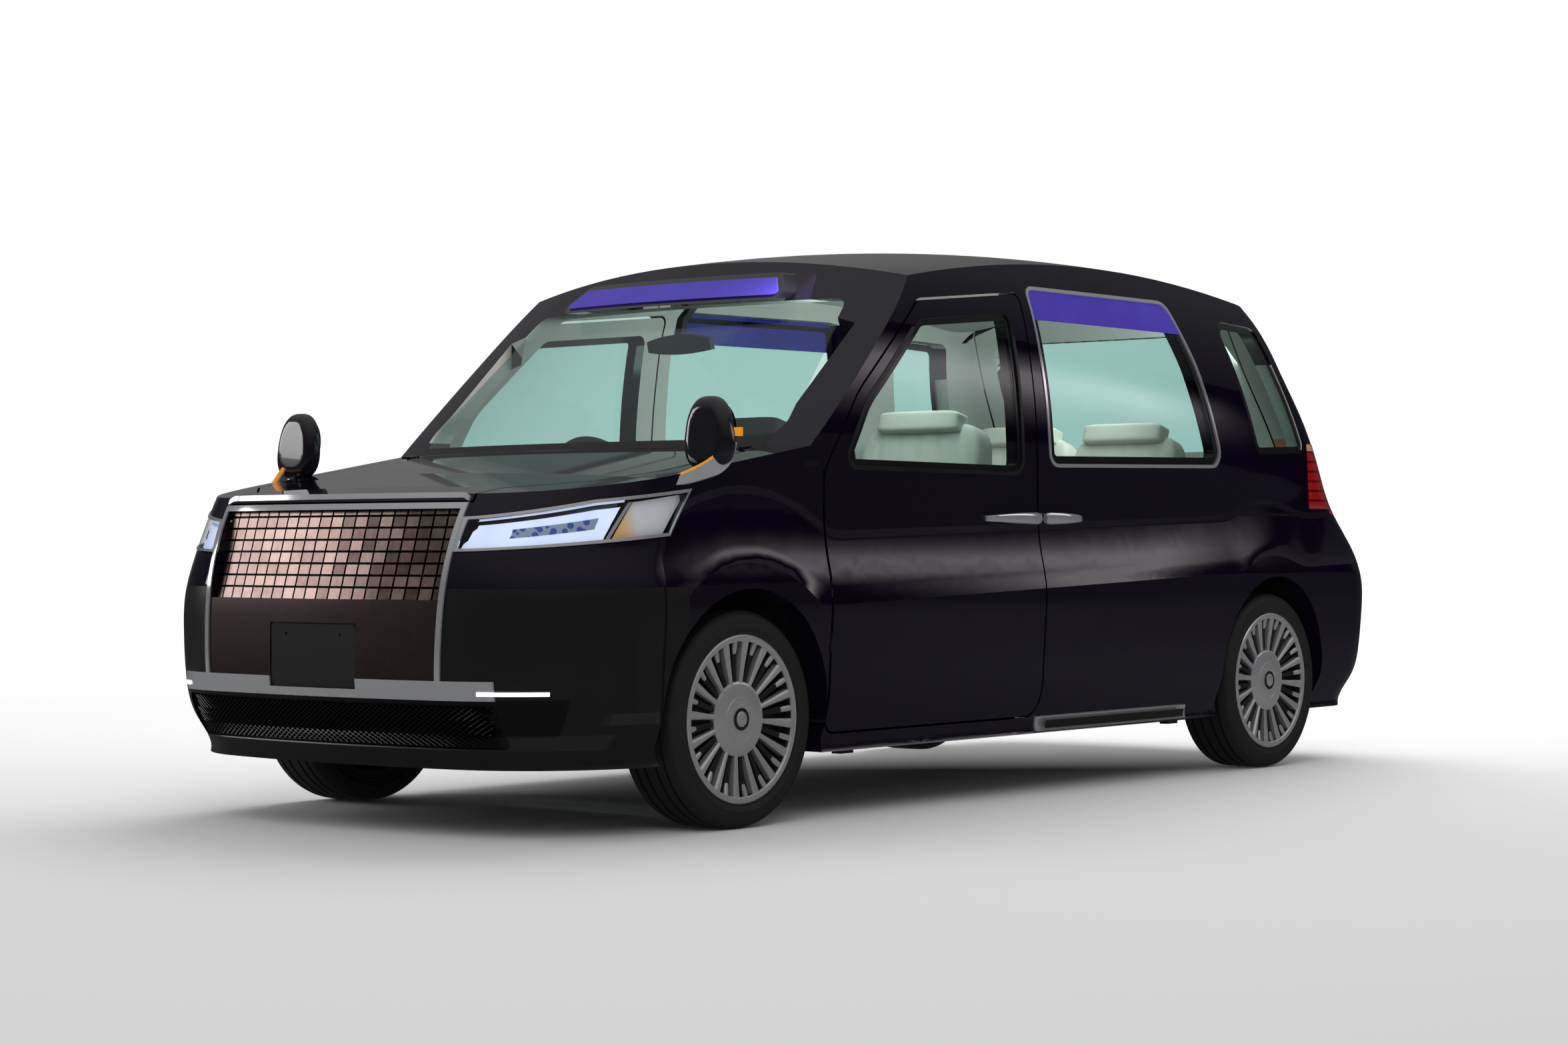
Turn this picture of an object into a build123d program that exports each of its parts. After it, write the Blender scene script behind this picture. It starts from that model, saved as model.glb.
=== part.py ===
"""A tall five-seat taxi cab with fender mirrors, sliding rear doors and lit signs, as separate named pieces.

Millimetres. X points forward, Y to the car's left and Z up. The road is Z = 0, below the middle of the car.
"""

import os
from math import cos, radians, sin

from build123d import *

os.makedirs("parts", exist_ok=True)

# Overall sizes.
LENGTH = 4350.0
WIDTH = 1695.0
HEIGHT = 1700.0
WHEELBASE = 2750.0
FRONT_OVERHANG = 810.0
TRACK = 1432.0
GROUND_CLEARANCE = 185.0

# Tyres and rims.
TYRE_RADIUS = 294.0
TYRE_WIDTH = 195.0
BEAD_RADIUS = 216.0
RIM_LIP_RADIUS = 226.0
RIM_WALL = 7.0
HUB_DISC_RADIUS = 101.0
HUB_BORE_RADIUS = 30.0

# Walls, seams and clearances.
WALL = 60.0
ROOF_WALL = 40.0
SEAM = 0.4
GAP = 7.0
HINGE_GAP = 10.0
RUNNING_CLEARANCE = 0.05
GLASS_INSET = 5.0
GLASS_THICKNESS = 5.0
FLOOR_THICKNESS = 60.0

# Places along the car.
FRONT_AXLE_X = LENGTH / 2 - FRONT_OVERHANG
REAR_AXLE_X = FRONT_AXLE_X - WHEELBASE
DOOR_FRONT_X = FRONT_AXLE_X - 345.0
FRONT_DOOR_LENGTH = 1020.0
B_POST_X = DOOR_FRONT_X - FRONT_DOOR_LENGTH
SLIDING_DOOR_LENGTH = 1135.0
C_POST_X = B_POST_X - SLIDING_DOOR_LENGTH

# Heights.
DOOR_BOTTOM_Z = 240.0
BELT_Z = 965.0
SILL_TOP_Z = GROUND_CLEARANCE + FLOOR_THICKNESS
BUMPER_TOP_Z = 652.0
GRILLE_TOP_Z = 872.0
VALANCE_TOP_Z = 622.0
VALANCE_BOTTOM_Z = 418.0

# Wheel arches.
ARCH_RADIUS = 335.0
ARCH_RISE = 15.0
LINER_RADIUS = 352.0
LINER_THICKNESS = 4.0
FRONT_LINER_INNER_Y = 425.0
REAR_LINER_INNER_Y = 590.0

# Bonnet and windscreen planes: a point on each at the middle of the car, its slope and how far it bows.
BONNET_REAR_X = FRONT_AXLE_X - 130.0
BONNET_REAR_Z = 1036.0
BONNET_SLOPE = 9.2
BONNET_CROWN_RADIUS = 12000.0
SCREEN_FOOT_X = FRONT_AXLE_X - 124.0
SCREEN_FOOT_Z = 1032.0
SCREEN_SLOPE = 41.9
SCREEN_BOW_RADIUS = 3000.0
ROOF_PEAK_X = FRONT_AXLE_X - 1865.0
ROOF_LENGTH_RADIUS = 7000.0
ROOF_WIDTH_RADIUS = 3270.0

# Body outline at rising heights, seen from above. Each column is measured from the car's widest, foremost or
# rearmost point: height, side inset, nose setback, nose bow, nose corner radius, tail setback, tail bow,
# tail corner radius, tail taper.
LEVELS = (
    (GROUND_CLEARANCE, 48, 66, 110, 420, 110, 40, 200, 25),
    (290, 27, 28, 100, 430, 48, 40, 210, 25),
    (400, 11, 3, 95, 440, 12, 40, 220, 25),
    (520, 3, 1, 96, 440, 3, 43, 220, 25),
    (632, 0, 8, 102, 440, 12, 45, 220, 24),
    (730, 18, 25, 109, 440, 46, 45, 210, 25),
    (860, 31, 72, 120, 440, 161, 50, 180, 35),
    (1000, 31, 141, 139, 440, 248, 54, 160, 45),
    (1160, 37, 193, 152, 440, 326, 55, 160, 52),
    (1330, 58, 200, 150, 440, 431, 55, 150, 63),
    (1520, 104, 200, 150, 420, 521, 60, 150, 83),
    (HEIGHT, 178, 200, 150, 400, 610, 60, 140, 95),
)
NOSE_CORNER_TAPER = 15.0


def slanted_plane(x, z, slope):
    """Plane across the car at a point of its middle, facing along a slope given in degrees above the horizon."""
    facing = (cos(radians(slope)), 0, sin(radians(slope)))
    return Plane(origin=(x, 0, z), x_dir=(0, 1, 0), z_dir=facing)


def above_bonnet(drop):
    """Everything above the bonnet's surface, lowered by drop."""
    half, high, reach = WIDTH, LENGTH, LENGTH
    with BuildPart() as space:
        with BuildSketch(slanted_plane(BONNET_REAR_X, BONNET_REAR_Z, -BONNET_SLOPE)):
            with BuildLine():
                fall = half**2 / (2 * BONNET_CROWN_RADIUS)
                crown = ThreePointArc((-half, -fall - drop), (0, -drop), (half, -fall - drop))
                Polyline(crown @ 1, (half, high), (-half, high), crown @ 0)
            make_face()
        extrude(amount=reach, both=True)
    return space.part


def ahead_of_screen(inset):
    """Everything ahead of the windscreen's surface, drawn in by inset."""
    half, far, reach = WIDTH, LENGTH, LENGTH
    with BuildPart() as space:
        with BuildSketch(slanted_plane(SCREEN_FOOT_X, SCREEN_FOOT_Z, 180 - SCREEN_SLOPE)):
            with BuildLine():
                fall = half**2 / (2 * SCREEN_BOW_RADIUS)
                bow = ThreePointArc((-half, fall + inset), (0, inset), (half, fall + inset))
                Polyline(bow @ 1, (half, -far), (-half, -far), bow @ 0)
            make_face()
        extrude(amount=reach, both=True)
    return space.part


def above_roof(drop):
    """Everything above the roof's crown, lowered by drop."""
    half = WIDTH
    with BuildPart() as space:
        with BuildSketch(Plane.YZ.offset(ROOF_PEAK_X)):
            with BuildLine():
                top = HEIGHT - drop
                fall = half**2 / (2 * ROOF_WIDTH_RADIUS)
                crown = ThreePointArc((-half, top - fall), (0, top), (half, top - fall))
                Polyline(crown @ 1, (half, top + HEIGHT), (-half, top + HEIGHT), crown @ 0)
            make_face()
        revolve(axis=Axis((ROOF_PEAK_X, 0, HEIGHT - ROOF_LENGTH_RADIUS), (0, 1, 0)))
    return space.part


def envelope(inset, roof_drop):
    """The body's outside as one solid, drawn in by inset on its sides and by roof_drop on its top."""
    corner = above_bonnet(inset) & ahead_of_screen(inset)
    with BuildPart() as hull:
        for z, side, nose, nose_bow, nose_radius, tail, tail_bow, tail_radius, taper in LEVELS:
            half = WIDTH / 2 - side - inset
            tip = LENGTH / 2 - nose - inset
            end = -LENGTH / 2 + tail + inset
            front = half - NOSE_CORNER_TAPER
            rear = half - taper
            with BuildSketch(Plane.XY.offset(z)) as level:
                with BuildLine():
                    ThreePointArc((tip - nose_bow, -front), (tip, 0), (tip - nose_bow, front))
                    ThreePointArc((tip - nose_bow, front), (0, half), (end + tail_bow, rear))
                    ThreePointArc((end + tail_bow, rear), (end, 0), (end + tail_bow, -rear))
                    ThreePointArc((end + tail_bow, -rear), (0, -half), (tip - nose_bow, -front))
                make_face()
                fillet(level.vertices().sort_by(Axis.X)[-2:], nose_radius - inset)
                fillet(level.vertices().sort_by(Axis.X)[:2], tail_radius - inset)
        loft()
        add(corner, mode=Mode.SUBTRACT)
        add(above_roof(roof_drop), mode=Mode.SUBTRACT)
    return hull.part


def prism(plane, points, radii=(), grow=0.0):
    """Endless bar with the outline of the given corners on a plane, each corner rounded by its radius."""
    with BuildPart() as bar:
        with BuildSketch(plane) as face:
            with BuildLine():
                Polyline(*points, close=True)
            make_face()
            for point, radius in zip(points, radii):
                if radius:
                    fillet(face.vertices().sort_by_distance((point[0], point[1], 0))[0], radius)
            if grow:
                offset(amount=grow, kind=Kind.INTERSECTION)
        extrude(amount=LENGTH, both=True)
    return bar.part


def block(x0, x1, y0, y1, z0, z1):
    """Box between two places along each axis."""
    with BuildPart() as box:
        with Locations(((x0 + x1) / 2, (y0 + y1) / 2, (z0 + z1) / 2)):
            Box(x1 - x0, y1 - y0, z1 - z0)
    return box.part


def round_bar(x, z, radius, y0, y1):
    """Cylinder across the car between two distances from its middle."""
    with BuildPart() as bar:
        with BuildSketch(Plane.XZ.offset(-y1)):
            with Locations((x, z)):
                Circle(radius)
        extrude(amount=y1 - y0)
    return bar.part


def common(base, *tools):
    """The space shared by all the solids given."""
    with BuildPart() as shared:
        add(base)
        for tool in tools:
            add(tool, mode=Mode.INTERSECT)
    return shared.part


def without(base, *tools):
    """The first solid less all the others."""
    with BuildPart() as rest:
        add(base)
        for tool in tools:
            add(tool, mode=Mode.SUBTRACT)
    return rest.part


def both_sides(left):
    """A left-hand solid and its mirror image."""
    with BuildPart() as pair:
        add(left)
        mirror(left, about=Plane.XZ)
    return pair.part


def finish(solid, name):
    """Name a piece and write its file."""
    solid.label = name
    export_step(solid, f"parts/{name}.step")


outer = envelope(0, 0)
inner = envelope(WALL, ROOF_WALL)
cabin = envelope(WALL + SEAM, ROOF_WALL + SEAM)
glass_outside = envelope(GLASS_INSET, GLASS_INSET)
glass_inside = envelope(GLASS_INSET + GLASS_THICKNESS, GLASS_INSET + GLASS_THICKNESS)
wall = without(outer, inner)
glass_shell = without(glass_outside, glass_inside)

FAR = LENGTH
side_block = block(-FAR, FAR, WIDTH / 4, FAR, 0, FAR)
left_wall = common(wall, side_block)
nose_wall = common(wall, block(DOOR_FRONT_X + HINGE_GAP, FAR, -FAR, FAR, 0, FAR))
nose_left = common(nose_wall, side_block)
tail_wall = common(wall, block(-FAR, REAR_AXLE_X, -FAR, FAR, 0, FAR))
tail_left = common(tail_wall, side_block)

# Doors seen from the side.
front_door_corners = (
    (DOOR_FRONT_X, DOOR_BOTTOM_Z),
    (DOOR_FRONT_X, BELT_Z),
    (DOOR_FRONT_X - 158, BELT_Z + 222),
    (DOOR_FRONT_X - 490, BELT_Z + 502),
    (B_POST_X, BELT_Z + 553),
    (B_POST_X, DOOR_BOTTOM_Z),
)
front_door_radii = (60, 120, 300, 60, 25, 40)
rear_door_corners = (
    (B_POST_X - GAP, DOOR_BOTTOM_Z),
    (B_POST_X - GAP, BELT_Z + 605),
    (C_POST_X + 197, BELT_Z + 610),
    (C_POST_X + 75, BELT_Z + 374),
    (C_POST_X - 15, BELT_Z + 5),
    (C_POST_X - 15, 698),
    (C_POST_X + 42, 571),
    (C_POST_X + 188, 443),
    (C_POST_X + 263, DOOR_BOTTOM_Z),
)
rear_door_radii = (40, 25, 70, 300, 300, 90, 120, 120, 30)
front_door_zone = prism(Plane.XZ, front_door_corners, front_door_radii)
front_door_hole = prism(Plane.XZ, front_door_corners, front_door_radii, GAP)
rear_door_zone = prism(Plane.XZ, rear_door_corners, rear_door_radii)
rear_door_hole = prism(Plane.XZ, rear_door_corners, rear_door_radii, SEAM)

# Windows.
front_window_corners = (
    (DOOR_FRONT_X - 85, BELT_Z + 15),
    (DOOR_FRONT_X - 198, BELT_Z + 200),
    (DOOR_FRONT_X - 483, BELT_Z + 448),
    (B_POST_X + 75, BELT_Z + 490),
    (B_POST_X + 75, BELT_Z + 8),
)
front_window_radii = (30, 250, 60, 30, 40)
rear_window_corners = (
    (B_POST_X - 75, BELT_Z + 33),
    (B_POST_X - 55, BELT_Z + 575),
    (C_POST_X + 240, BELT_Z + 578),
    (C_POST_X + 137, BELT_Z + 370),
    (C_POST_X + 34, BELT_Z + 47),
)
rear_window_radii = (40, 30, 60, 300, 50)
quarter_corners = (
    (C_POST_X - 206, BELT_Z + 90),
    (C_POST_X - 58, BELT_Z + 540),
    (C_POST_X - 348, BELT_Z + 528),
    (C_POST_X - 543, BELT_Z + 102),
)
quarter_radii = (40, 50, 60, 30)
screen_corners = ((-715, 1055), (715, 1055), (612, 1474), (-612, 1474))
screen_radii = (50, 50, 40, 40)
rear_screen_corners = ((-525, 1085), (525, 1085), (475, 1490), (-475, 1490))
rear_screen_radii = (60, 60, 50, 50)
front_window = prism(Plane.XZ, front_window_corners, front_window_radii)
rear_window = prism(Plane.XZ, rear_window_corners, rear_window_radii)
quarter_window = prism(Plane.XZ, quarter_corners, quarter_radii)
screen = common(prism(Plane.YZ, screen_corners, screen_radii), block(0, FAR, -FAR, FAR, 0, FAR))
rear_screen = common(prism(Plane.YZ, rear_screen_corners, rear_screen_radii), block(-FAR, -FAR / 4, -FAR, FAR, 0, FAR))

# Bonnet, seen from above and from the side.
bonnet_back_arc = SCREEN_FOOT_X + 12
BONNET_CORNER_Y = 690.0
bonnet_corner_x = bonnet_back_arc - BONNET_CORNER_Y**2 / (2 * SCREEN_BOW_RADIUS)


def bonnet_zone(grow):
    """The bonnet's outline from above within its outline from the side, both grown."""
    tip = LENGTH / 2
    with BuildPart() as zone:
        with BuildSketch() as plan:
            with BuildLine():
                back = ThreePointArc(
                    (bonnet_corner_x, BONNET_CORNER_Y), (bonnet_back_arc, 0), (bonnet_corner_x, -BONNET_CORNER_Y)
                )
                Polyline(
                    back @ 1,
                    (FRONT_AXLE_X + 215, -BONNET_CORNER_Y - 25),
                    (FRONT_AXLE_X + 420, -BONNET_CORNER_Y + 35),
                    (tip - 235, -480),
                    (tip, -480),
                    (tip, 480),
                    (tip - 235, 480),
                    (FRONT_AXLE_X + 420, BONNET_CORNER_Y - 35),
                    (FRONT_AXLE_X + 215, BONNET_CORNER_Y + 25),
                    back @ 0,
                )
            make_face()
            if grow:
                offset(amount=grow, kind=Kind.INTERSECTION)
        extrude(amount=FAR)
        with BuildSketch(Plane.XZ) as side:
            with BuildLine():
                Polyline(
                    (tip + 100, GRILLE_TOP_Z + GAP),
                    (tip - 180, GRILLE_TOP_Z + GAP),
                    (tip - 240, GRILLE_TOP_Z - 72),
                    (0, GRILLE_TOP_Z - 72),
                    (0, FAR),
                    (tip + 100, FAR),
                    close=True,
                )
            make_face()
            if grow:
                offset(amount=grow, kind=Kind.INTERSECTION)
        extrude(amount=WIDTH, both=True, mode=Mode.INTERSECT)
    return zone.part


bonnet_space = bonnet_zone(0)
bonnet_hole = bonnet_zone(GAP)

# Zones of the other panels.
ROOF_EDGE_Y = 640.0
TAILGATE_TOP_X = REAR_AXLE_X - 150.0
TAILGATE_BOTTOM_Z = BUMPER_TOP_Z + GAP
PILLAR_FOOT_Z = 1000.0
LAMP_INNER_Y = 456.0
ROOF_EDGE_Z = BELT_Z + 535.0
HEADER_EDGE_Z = BELT_Z + 475.0


def roof_space(rear_x, grow):
    """The roof's place between its side seams, down to the windscreen header in front."""
    corners = (
        (rear_x, ROOF_EDGE_Z - grow), (-grow, ROOF_EDGE_Z - grow), (LENGTH / 12 - grow, HEADER_EDGE_Z - grow),
        (FAR, HEADER_EDGE_Z - grow), (FAR, FAR), (rear_x, FAR),
    )
    middle = block(-FAR, FAR, -ROOF_EDGE_Y - grow, ROOF_EDGE_Y + grow, 0, FAR)
    return common(prism(Plane.XZ, corners), middle)


roof_zone = roof_space(TAILGATE_TOP_X, 0)
roof_hole = roof_space(TAILGATE_TOP_X - HINGE_GAP, SEAM)
tailgate_corners = (
    (-620, TAILGATE_BOTTOM_Z), (620, TAILGATE_BOTTOM_Z), (620, 870), (530, 1560), (530, FAR),
    (-530, FAR), (-530, 1560), (-620, 870),
)
tailgate_zone = common(
    prism(Plane.YZ, tailgate_corners), block(-FAR, TAILGATE_TOP_X - HINGE_GAP, -FAR, FAR, 0, FAR)
)
tailgate_hole = common(
    prism(Plane.YZ, tailgate_corners, (), GAP), block(-FAR, TAILGATE_TOP_X, -FAR, FAR, 0, FAR)
)
tail_lamp_corners = (
    (REAR_AXLE_X - 350, 1120), (REAR_AXLE_X - 445, 856), (-LENGTH / 2, 856), (-LENGTH / 2, 1120)
)
tail_lamp_radii = (20, 20, 0, 0)
tail_lamp_zone = prism(Plane.XZ, tail_lamp_corners, tail_lamp_radii)
tail_lamp_hole = prism(Plane.XZ, tail_lamp_corners, tail_lamp_radii, SEAM)
rear_bumper_zone = block(-FAR, REAR_AXLE_X - 215, -FAR, FAR, 0, BUMPER_TOP_Z)
rear_bumper_hole = block(-FAR, REAR_AXLE_X - 215 + SEAM, -FAR, FAR, 0, BUMPER_TOP_Z + SEAM)
head_lamp_corners = (
    (LENGTH / 2, 738), (FRONT_AXLE_X + 295, 783), (FRONT_AXLE_X + 205, 912), (FRONT_AXLE_X + 500, 880),
    (FRONT_AXLE_X + 700, 838), (LENGTH / 2, 828),
)
head_lamp_radii = (0, 60, 25, 0, 0, 0)
head_lamp_zone = prism(Plane.XZ, head_lamp_corners, head_lamp_radii)
head_lamp_hole = prism(Plane.XZ, head_lamp_corners, head_lamp_radii, SEAM)
front_bumper_zone = block(FRONT_AXLE_X + 250, FAR, -FAR, FAR, 0, BUMPER_TOP_Z)
front_bumper_hole = block(FRONT_AXLE_X + 250 - SEAM, FAR, -FAR, FAR, 0, BUMPER_TOP_Z + SEAM)
pillar_zone = block(0, bonnet_corner_x, -FAR, FAR, PILLAR_FOOT_Z, FAR)
pillar_hole = block(0, bonnet_corner_x + SEAM, -FAR, FAR, PILLAR_FOOT_Z - SEAM, FAR)
centre_zone = block(LENGTH / 4, FAR, -LAMP_INNER_Y - SEAM, LAMP_INNER_Y + SEAM, VALANCE_BOTTOM_Z - SEAM, FAR)


def arch(x):
    """Wheel openings of one axle, through the side walls."""
    opening = round_bar(x, TYRE_RADIUS + ARCH_RISE, ARCH_RADIUS, WIDTH / 3, WIDTH)
    return both_sides(opening)


def wheel_space(x, inner_y, radius):
    """Space taken up by a pair of wheelhouses of one axle."""
    return both_sides(round_bar(x, TYRE_RADIUS, radius, inner_y, WIDTH))


front_arch = arch(FRONT_AXLE_X)
rear_arch = arch(REAR_AXLE_X)


# Side frames: pillars, cant rails, sills and rear quarters, with a jacking pad under each end of the sills.
JACK_PAD_SIZE = 60.0
JACK_PAD_DEPTH = 10.0
JACK_PAD_Y = 770.0
JACK_PAD_FRONT_X = DOOR_FRONT_X - 130.0
JACK_PAD_REAR_X = C_POST_X + 330.0
frame_zone = prism(
    Plane.XZ,
    (
        (-FAR, 0),
        (DOOR_FRONT_X + HINGE_GAP - SEAM, 0),
        (DOOR_FRONT_X + HINGE_GAP - SEAM, PILLAR_FOOT_Z),
        (bonnet_corner_x, PILLAR_FOOT_Z),
        (bonnet_corner_x, FAR),
        (-FAR, FAR),
    ),
)
cowl_hole = block(LENGTH / 6, FAR, -BONNET_CORNER_Y - SEAM, BONNET_CORNER_Y + SEAM, 0, HEADER_EDGE_Z)
leading_edge_hole = block(DOOR_FRONT_X - GAP, FAR, -FAR, FAR, 0, BELT_Z)
with BuildPart() as side_frame_left:
    add(left_wall)
    add(frame_zone, mode=Mode.INTERSECT)
    add(roof_hole, mode=Mode.SUBTRACT)
    add(cowl_hole, mode=Mode.SUBTRACT)
    add(screen, mode=Mode.SUBTRACT)
    add(front_door_hole, mode=Mode.SUBTRACT)
    add(leading_edge_hole, mode=Mode.SUBTRACT)
    add(rear_door_hole, mode=Mode.SUBTRACT)
    add(quarter_window, mode=Mode.SUBTRACT)
    add(tailgate_hole, mode=Mode.SUBTRACT)
    add(tail_lamp_hole, mode=Mode.SUBTRACT)
    add(rear_bumper_hole, mode=Mode.SUBTRACT)
    add(rear_arch, mode=Mode.SUBTRACT)
    with BuildSketch(Plane.XY.offset(GROUND_CLEARANCE - JACK_PAD_DEPTH)):
        for pad_x in (JACK_PAD_FRONT_X, JACK_PAD_REAR_X):
            with Locations((pad_x, JACK_PAD_Y)):
                Rectangle(JACK_PAD_SIZE, JACK_PAD_SIZE / 2)
    extrude(amount=JACK_PAD_DEPTH + 20)
finish(both_sides(side_frame_left.part), "side_frames")

# Bulkhead with the cowl and the two posts that carry the front doors on plain butt hinges.
HINGE_PIN_RADIUS = 3.5
HINGE_HEIGHT = 52.0
HINGE_LEVELS = (490.0, 640.0)
HINGE_LEAF = 4.0
BULKHEAD_THICKNESS = 30.0
BULKHEAD_X = DOOR_FRONT_X - 40.0
POST_LENGTH = 90.0
POST_INNER_Y = 690.0
door_axis_x = DOOR_FRONT_X + HINGE_GAP / 2
door_axis_y = WIDTH / 2 - 6.0
front_wheel_space = wheel_space(
    FRONT_AXLE_X, FRONT_LINER_INNER_Y - LINER_THICKNESS - SEAM, LINER_RADIUS + LINER_THICKNESS + SEAM
)


def hinge_half(base, leaf_end_y):
    """Barrel and leaf of a left door hinge, standing on a height."""
    with BuildPart() as half:
        with BuildSketch(Plane.XY.offset(base)):
            with Locations((door_axis_x, door_axis_y)):
                Circle(HINGE_PIN_RADIUS)
            with Locations((door_axis_x, (door_axis_y + leaf_end_y) / 2)):
                Rectangle(HINGE_LEAF, door_axis_y - leaf_end_y)
        extrude(amount=HINGE_HEIGHT / 2 - SEAM)
    return half.part


with BuildPart() as posts:
    add(cabin)
    add(
        block(door_axis_x - HINGE_LEAF / 2 - POST_LENGTH, door_axis_x + HINGE_LEAF / 2, POST_INNER_Y, FAR,
              SILL_TOP_Z + SEAM, PILLAR_FOOT_Z - SEAM),
        mode=Mode.INTERSECT,
    )
    add(front_wheel_space, mode=Mode.SUBTRACT)
    for level in HINGE_LEVELS:
        add(hinge_half(level - HINGE_HEIGHT / 2, WIDTH / 2 - WALL - 40))
    mirror(about=Plane.XZ)
with BuildPart() as bulkhead:
    add(cabin)
    add(
        block(BULKHEAD_X, BULKHEAD_X + BULKHEAD_THICKNESS, -POST_INNER_Y - 1, POST_INNER_Y + 1,
              SILL_TOP_Z + SEAM, PILLAR_FOOT_Z + 60),
        mode=Mode.INTERSECT,
    )
    add(front_wheel_space, mode=Mode.SUBTRACT)
    add(posts.part)
with BuildPart() as cowl:
    add(wall)
    add(
        block(LENGTH / 6, bonnet_back_arc + 1, -BONNET_CORNER_Y, BONNET_CORNER_Y, PILLAR_FOOT_Z - 60, HEADER_EDGE_Z),
        mode=Mode.INTERSECT,
    )
    add(bonnet_hole, mode=Mode.SUBTRACT)
    add(screen, mode=Mode.SUBTRACT)
LID_PIN_RADIUS = 3.5
LID_HINGE_LENGTH = 40.0
BONNET_HINGE_Y = 640.0
bonnet_axis_x = bonnet_back_arc - (BONNET_HINGE_Y + LID_HINGE_LENGTH / 2) ** 2 / (2 * SCREEN_BOW_RADIUS) - GAP / 2
bonnet_axis_z = 1030.0


def lid_hinge_half(x, z, radius, y, toward):
    """Barrel of a lid hinge across the car with a leaf from it toward a place along the car, and its mirror image."""
    with BuildPart() as half:
        add(round_bar(x, z, radius, y, y + LID_HINGE_LENGTH / 2 - SEAM))
        add(block(min(x, toward), max(x, toward), y, y + LID_HINGE_LENGTH / 2 - SEAM, z - 9, z - 2))
        mirror(about=Plane.XZ)
    return half.part


with BuildPart() as hinged_cowl:
    add(cowl.part.solids().sort_by(SortBy.VOLUME)[-1])
    add(lid_hinge_half(bonnet_axis_x, bonnet_axis_z, LID_PIN_RADIUS, BONNET_HINGE_Y, bonnet_axis_x - 30))
finish(bulkhead.part, "bulkhead")
finish(hinged_cowl.part, "cowl")

# Bonnet, hinged at its rear corners.
with BuildPart() as bonnet:
    add(nose_wall)
    add(bonnet_space, mode=Mode.INTERSECT)
    add(
        lid_hinge_half(
            bonnet_axis_x, bonnet_axis_z, LID_PIN_RADIUS, BONNET_HINGE_Y + LID_HINGE_LENGTH / 2, bonnet_axis_x + 30
        )
    )
finish(bonnet.part, "bonnet")

# Front wings.
cowl_strip = block(0, bonnet_back_arc + 60, -BONNET_CORNER_Y - SEAM, BONNET_CORNER_Y + SEAM, 0, FAR)
with BuildPart() as fender_left:
    add(nose_left)
    add(pillar_hole, mode=Mode.SUBTRACT)
    add(bonnet_hole, mode=Mode.SUBTRACT)
    add(head_lamp_hole, mode=Mode.SUBTRACT)
    add(front_bumper_hole, mode=Mode.SUBTRACT)
    add(centre_zone, mode=Mode.SUBTRACT)
    add(cowl_strip, mode=Mode.SUBTRACT)
    add(front_arch, mode=Mode.SUBTRACT)
finish(both_sides(fender_left.part.solids().sort_by(SortBy.VOLUME)[-1]), "fenders")

# Head lamps wrapped round the front corners.
with BuildPart() as headlamp_left:
    add(nose_left)
    add(head_lamp_zone, mode=Mode.INTERSECT)
    add(bonnet_hole, mode=Mode.SUBTRACT)
    add(centre_zone, mode=Mode.SUBTRACT)
finish(both_sides(headlamp_left.part), "headlamps")

# Front bumper with the opening of the lower grille, and a flat seat for the number plate.
PLATE_WIDTH = 330.0
PLATE_HEIGHT = 165.0
PLATE_THICKNESS = 3.0
PLATE_Z = 474.0
PLATE_FACE_X = LENGTH / 2 - 7.0
PLATE_BOLT_SPACING = 210.0
PLATE_HOLE_RADIUS = 3.5
PLATE_HOLE_DEPTH = 20.0
LOWER_GRILLE_HALF = 600.0
LOWER_GRILLE_BOTTOM_Z = 240.0
LOWER_GRILLE_TOP_Z = 356.0
plate_back_x = PLATE_FACE_X - PLATE_THICKNESS
plate_seat = block(
    plate_back_x - SEAM, FAR, -PLATE_WIDTH / 2 - 3, PLATE_WIDTH / 2 + 3,
    PLATE_Z - PLATE_HEIGHT / 2 - 3, PLATE_Z + PLATE_HEIGHT / 2 + 3,
)
lower_grille_corners = (
    (-LOWER_GRILLE_HALF, LOWER_GRILLE_BOTTOM_Z), (LOWER_GRILLE_HALF, LOWER_GRILLE_BOTTOM_Z),
    (LOWER_GRILLE_HALF, LOWER_GRILLE_TOP_Z), (-LOWER_GRILLE_HALF, LOWER_GRILLE_TOP_Z),
)
lower_grille_radii = (20, 20, 20, 20)
lower_grille_zone = common(
    prism(Plane.YZ, lower_grille_corners, lower_grille_radii), block(FRONT_AXLE_X, FAR, -FAR, FAR, 0, FAR)
)
lower_grille_hole = common(
    prism(Plane.YZ, lower_grille_corners, lower_grille_radii, SEAM), block(FRONT_AXLE_X, FAR, -FAR, FAR, 0, FAR)
)
with BuildPart() as front_bumper:
    add(nose_wall)
    add(front_bumper_zone, mode=Mode.INTERSECT)
    add(centre_zone, mode=Mode.SUBTRACT)
    add(lower_grille_hole, mode=Mode.SUBTRACT)
    add(plate_seat, mode=Mode.SUBTRACT)
    add(front_arch, mode=Mode.SUBTRACT)
finish(front_bumper.part, "front_bumper")

# Lower grille set back in its opening.
LOWER_GRILLE_SETBACK = 16.0
LOWER_GRILLE_DEPTH = 14.0
with BuildPart() as lower_grille:
    add(envelope(LOWER_GRILLE_SETBACK, LOWER_GRILLE_SETBACK))
    add(envelope(LOWER_GRILLE_SETBACK + LOWER_GRILLE_DEPTH, LOWER_GRILLE_SETBACK), mode=Mode.SUBTRACT)
    add(lower_grille_zone, mode=Mode.INTERSECT)
finish(lower_grille.part, "lower_grille")

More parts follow.
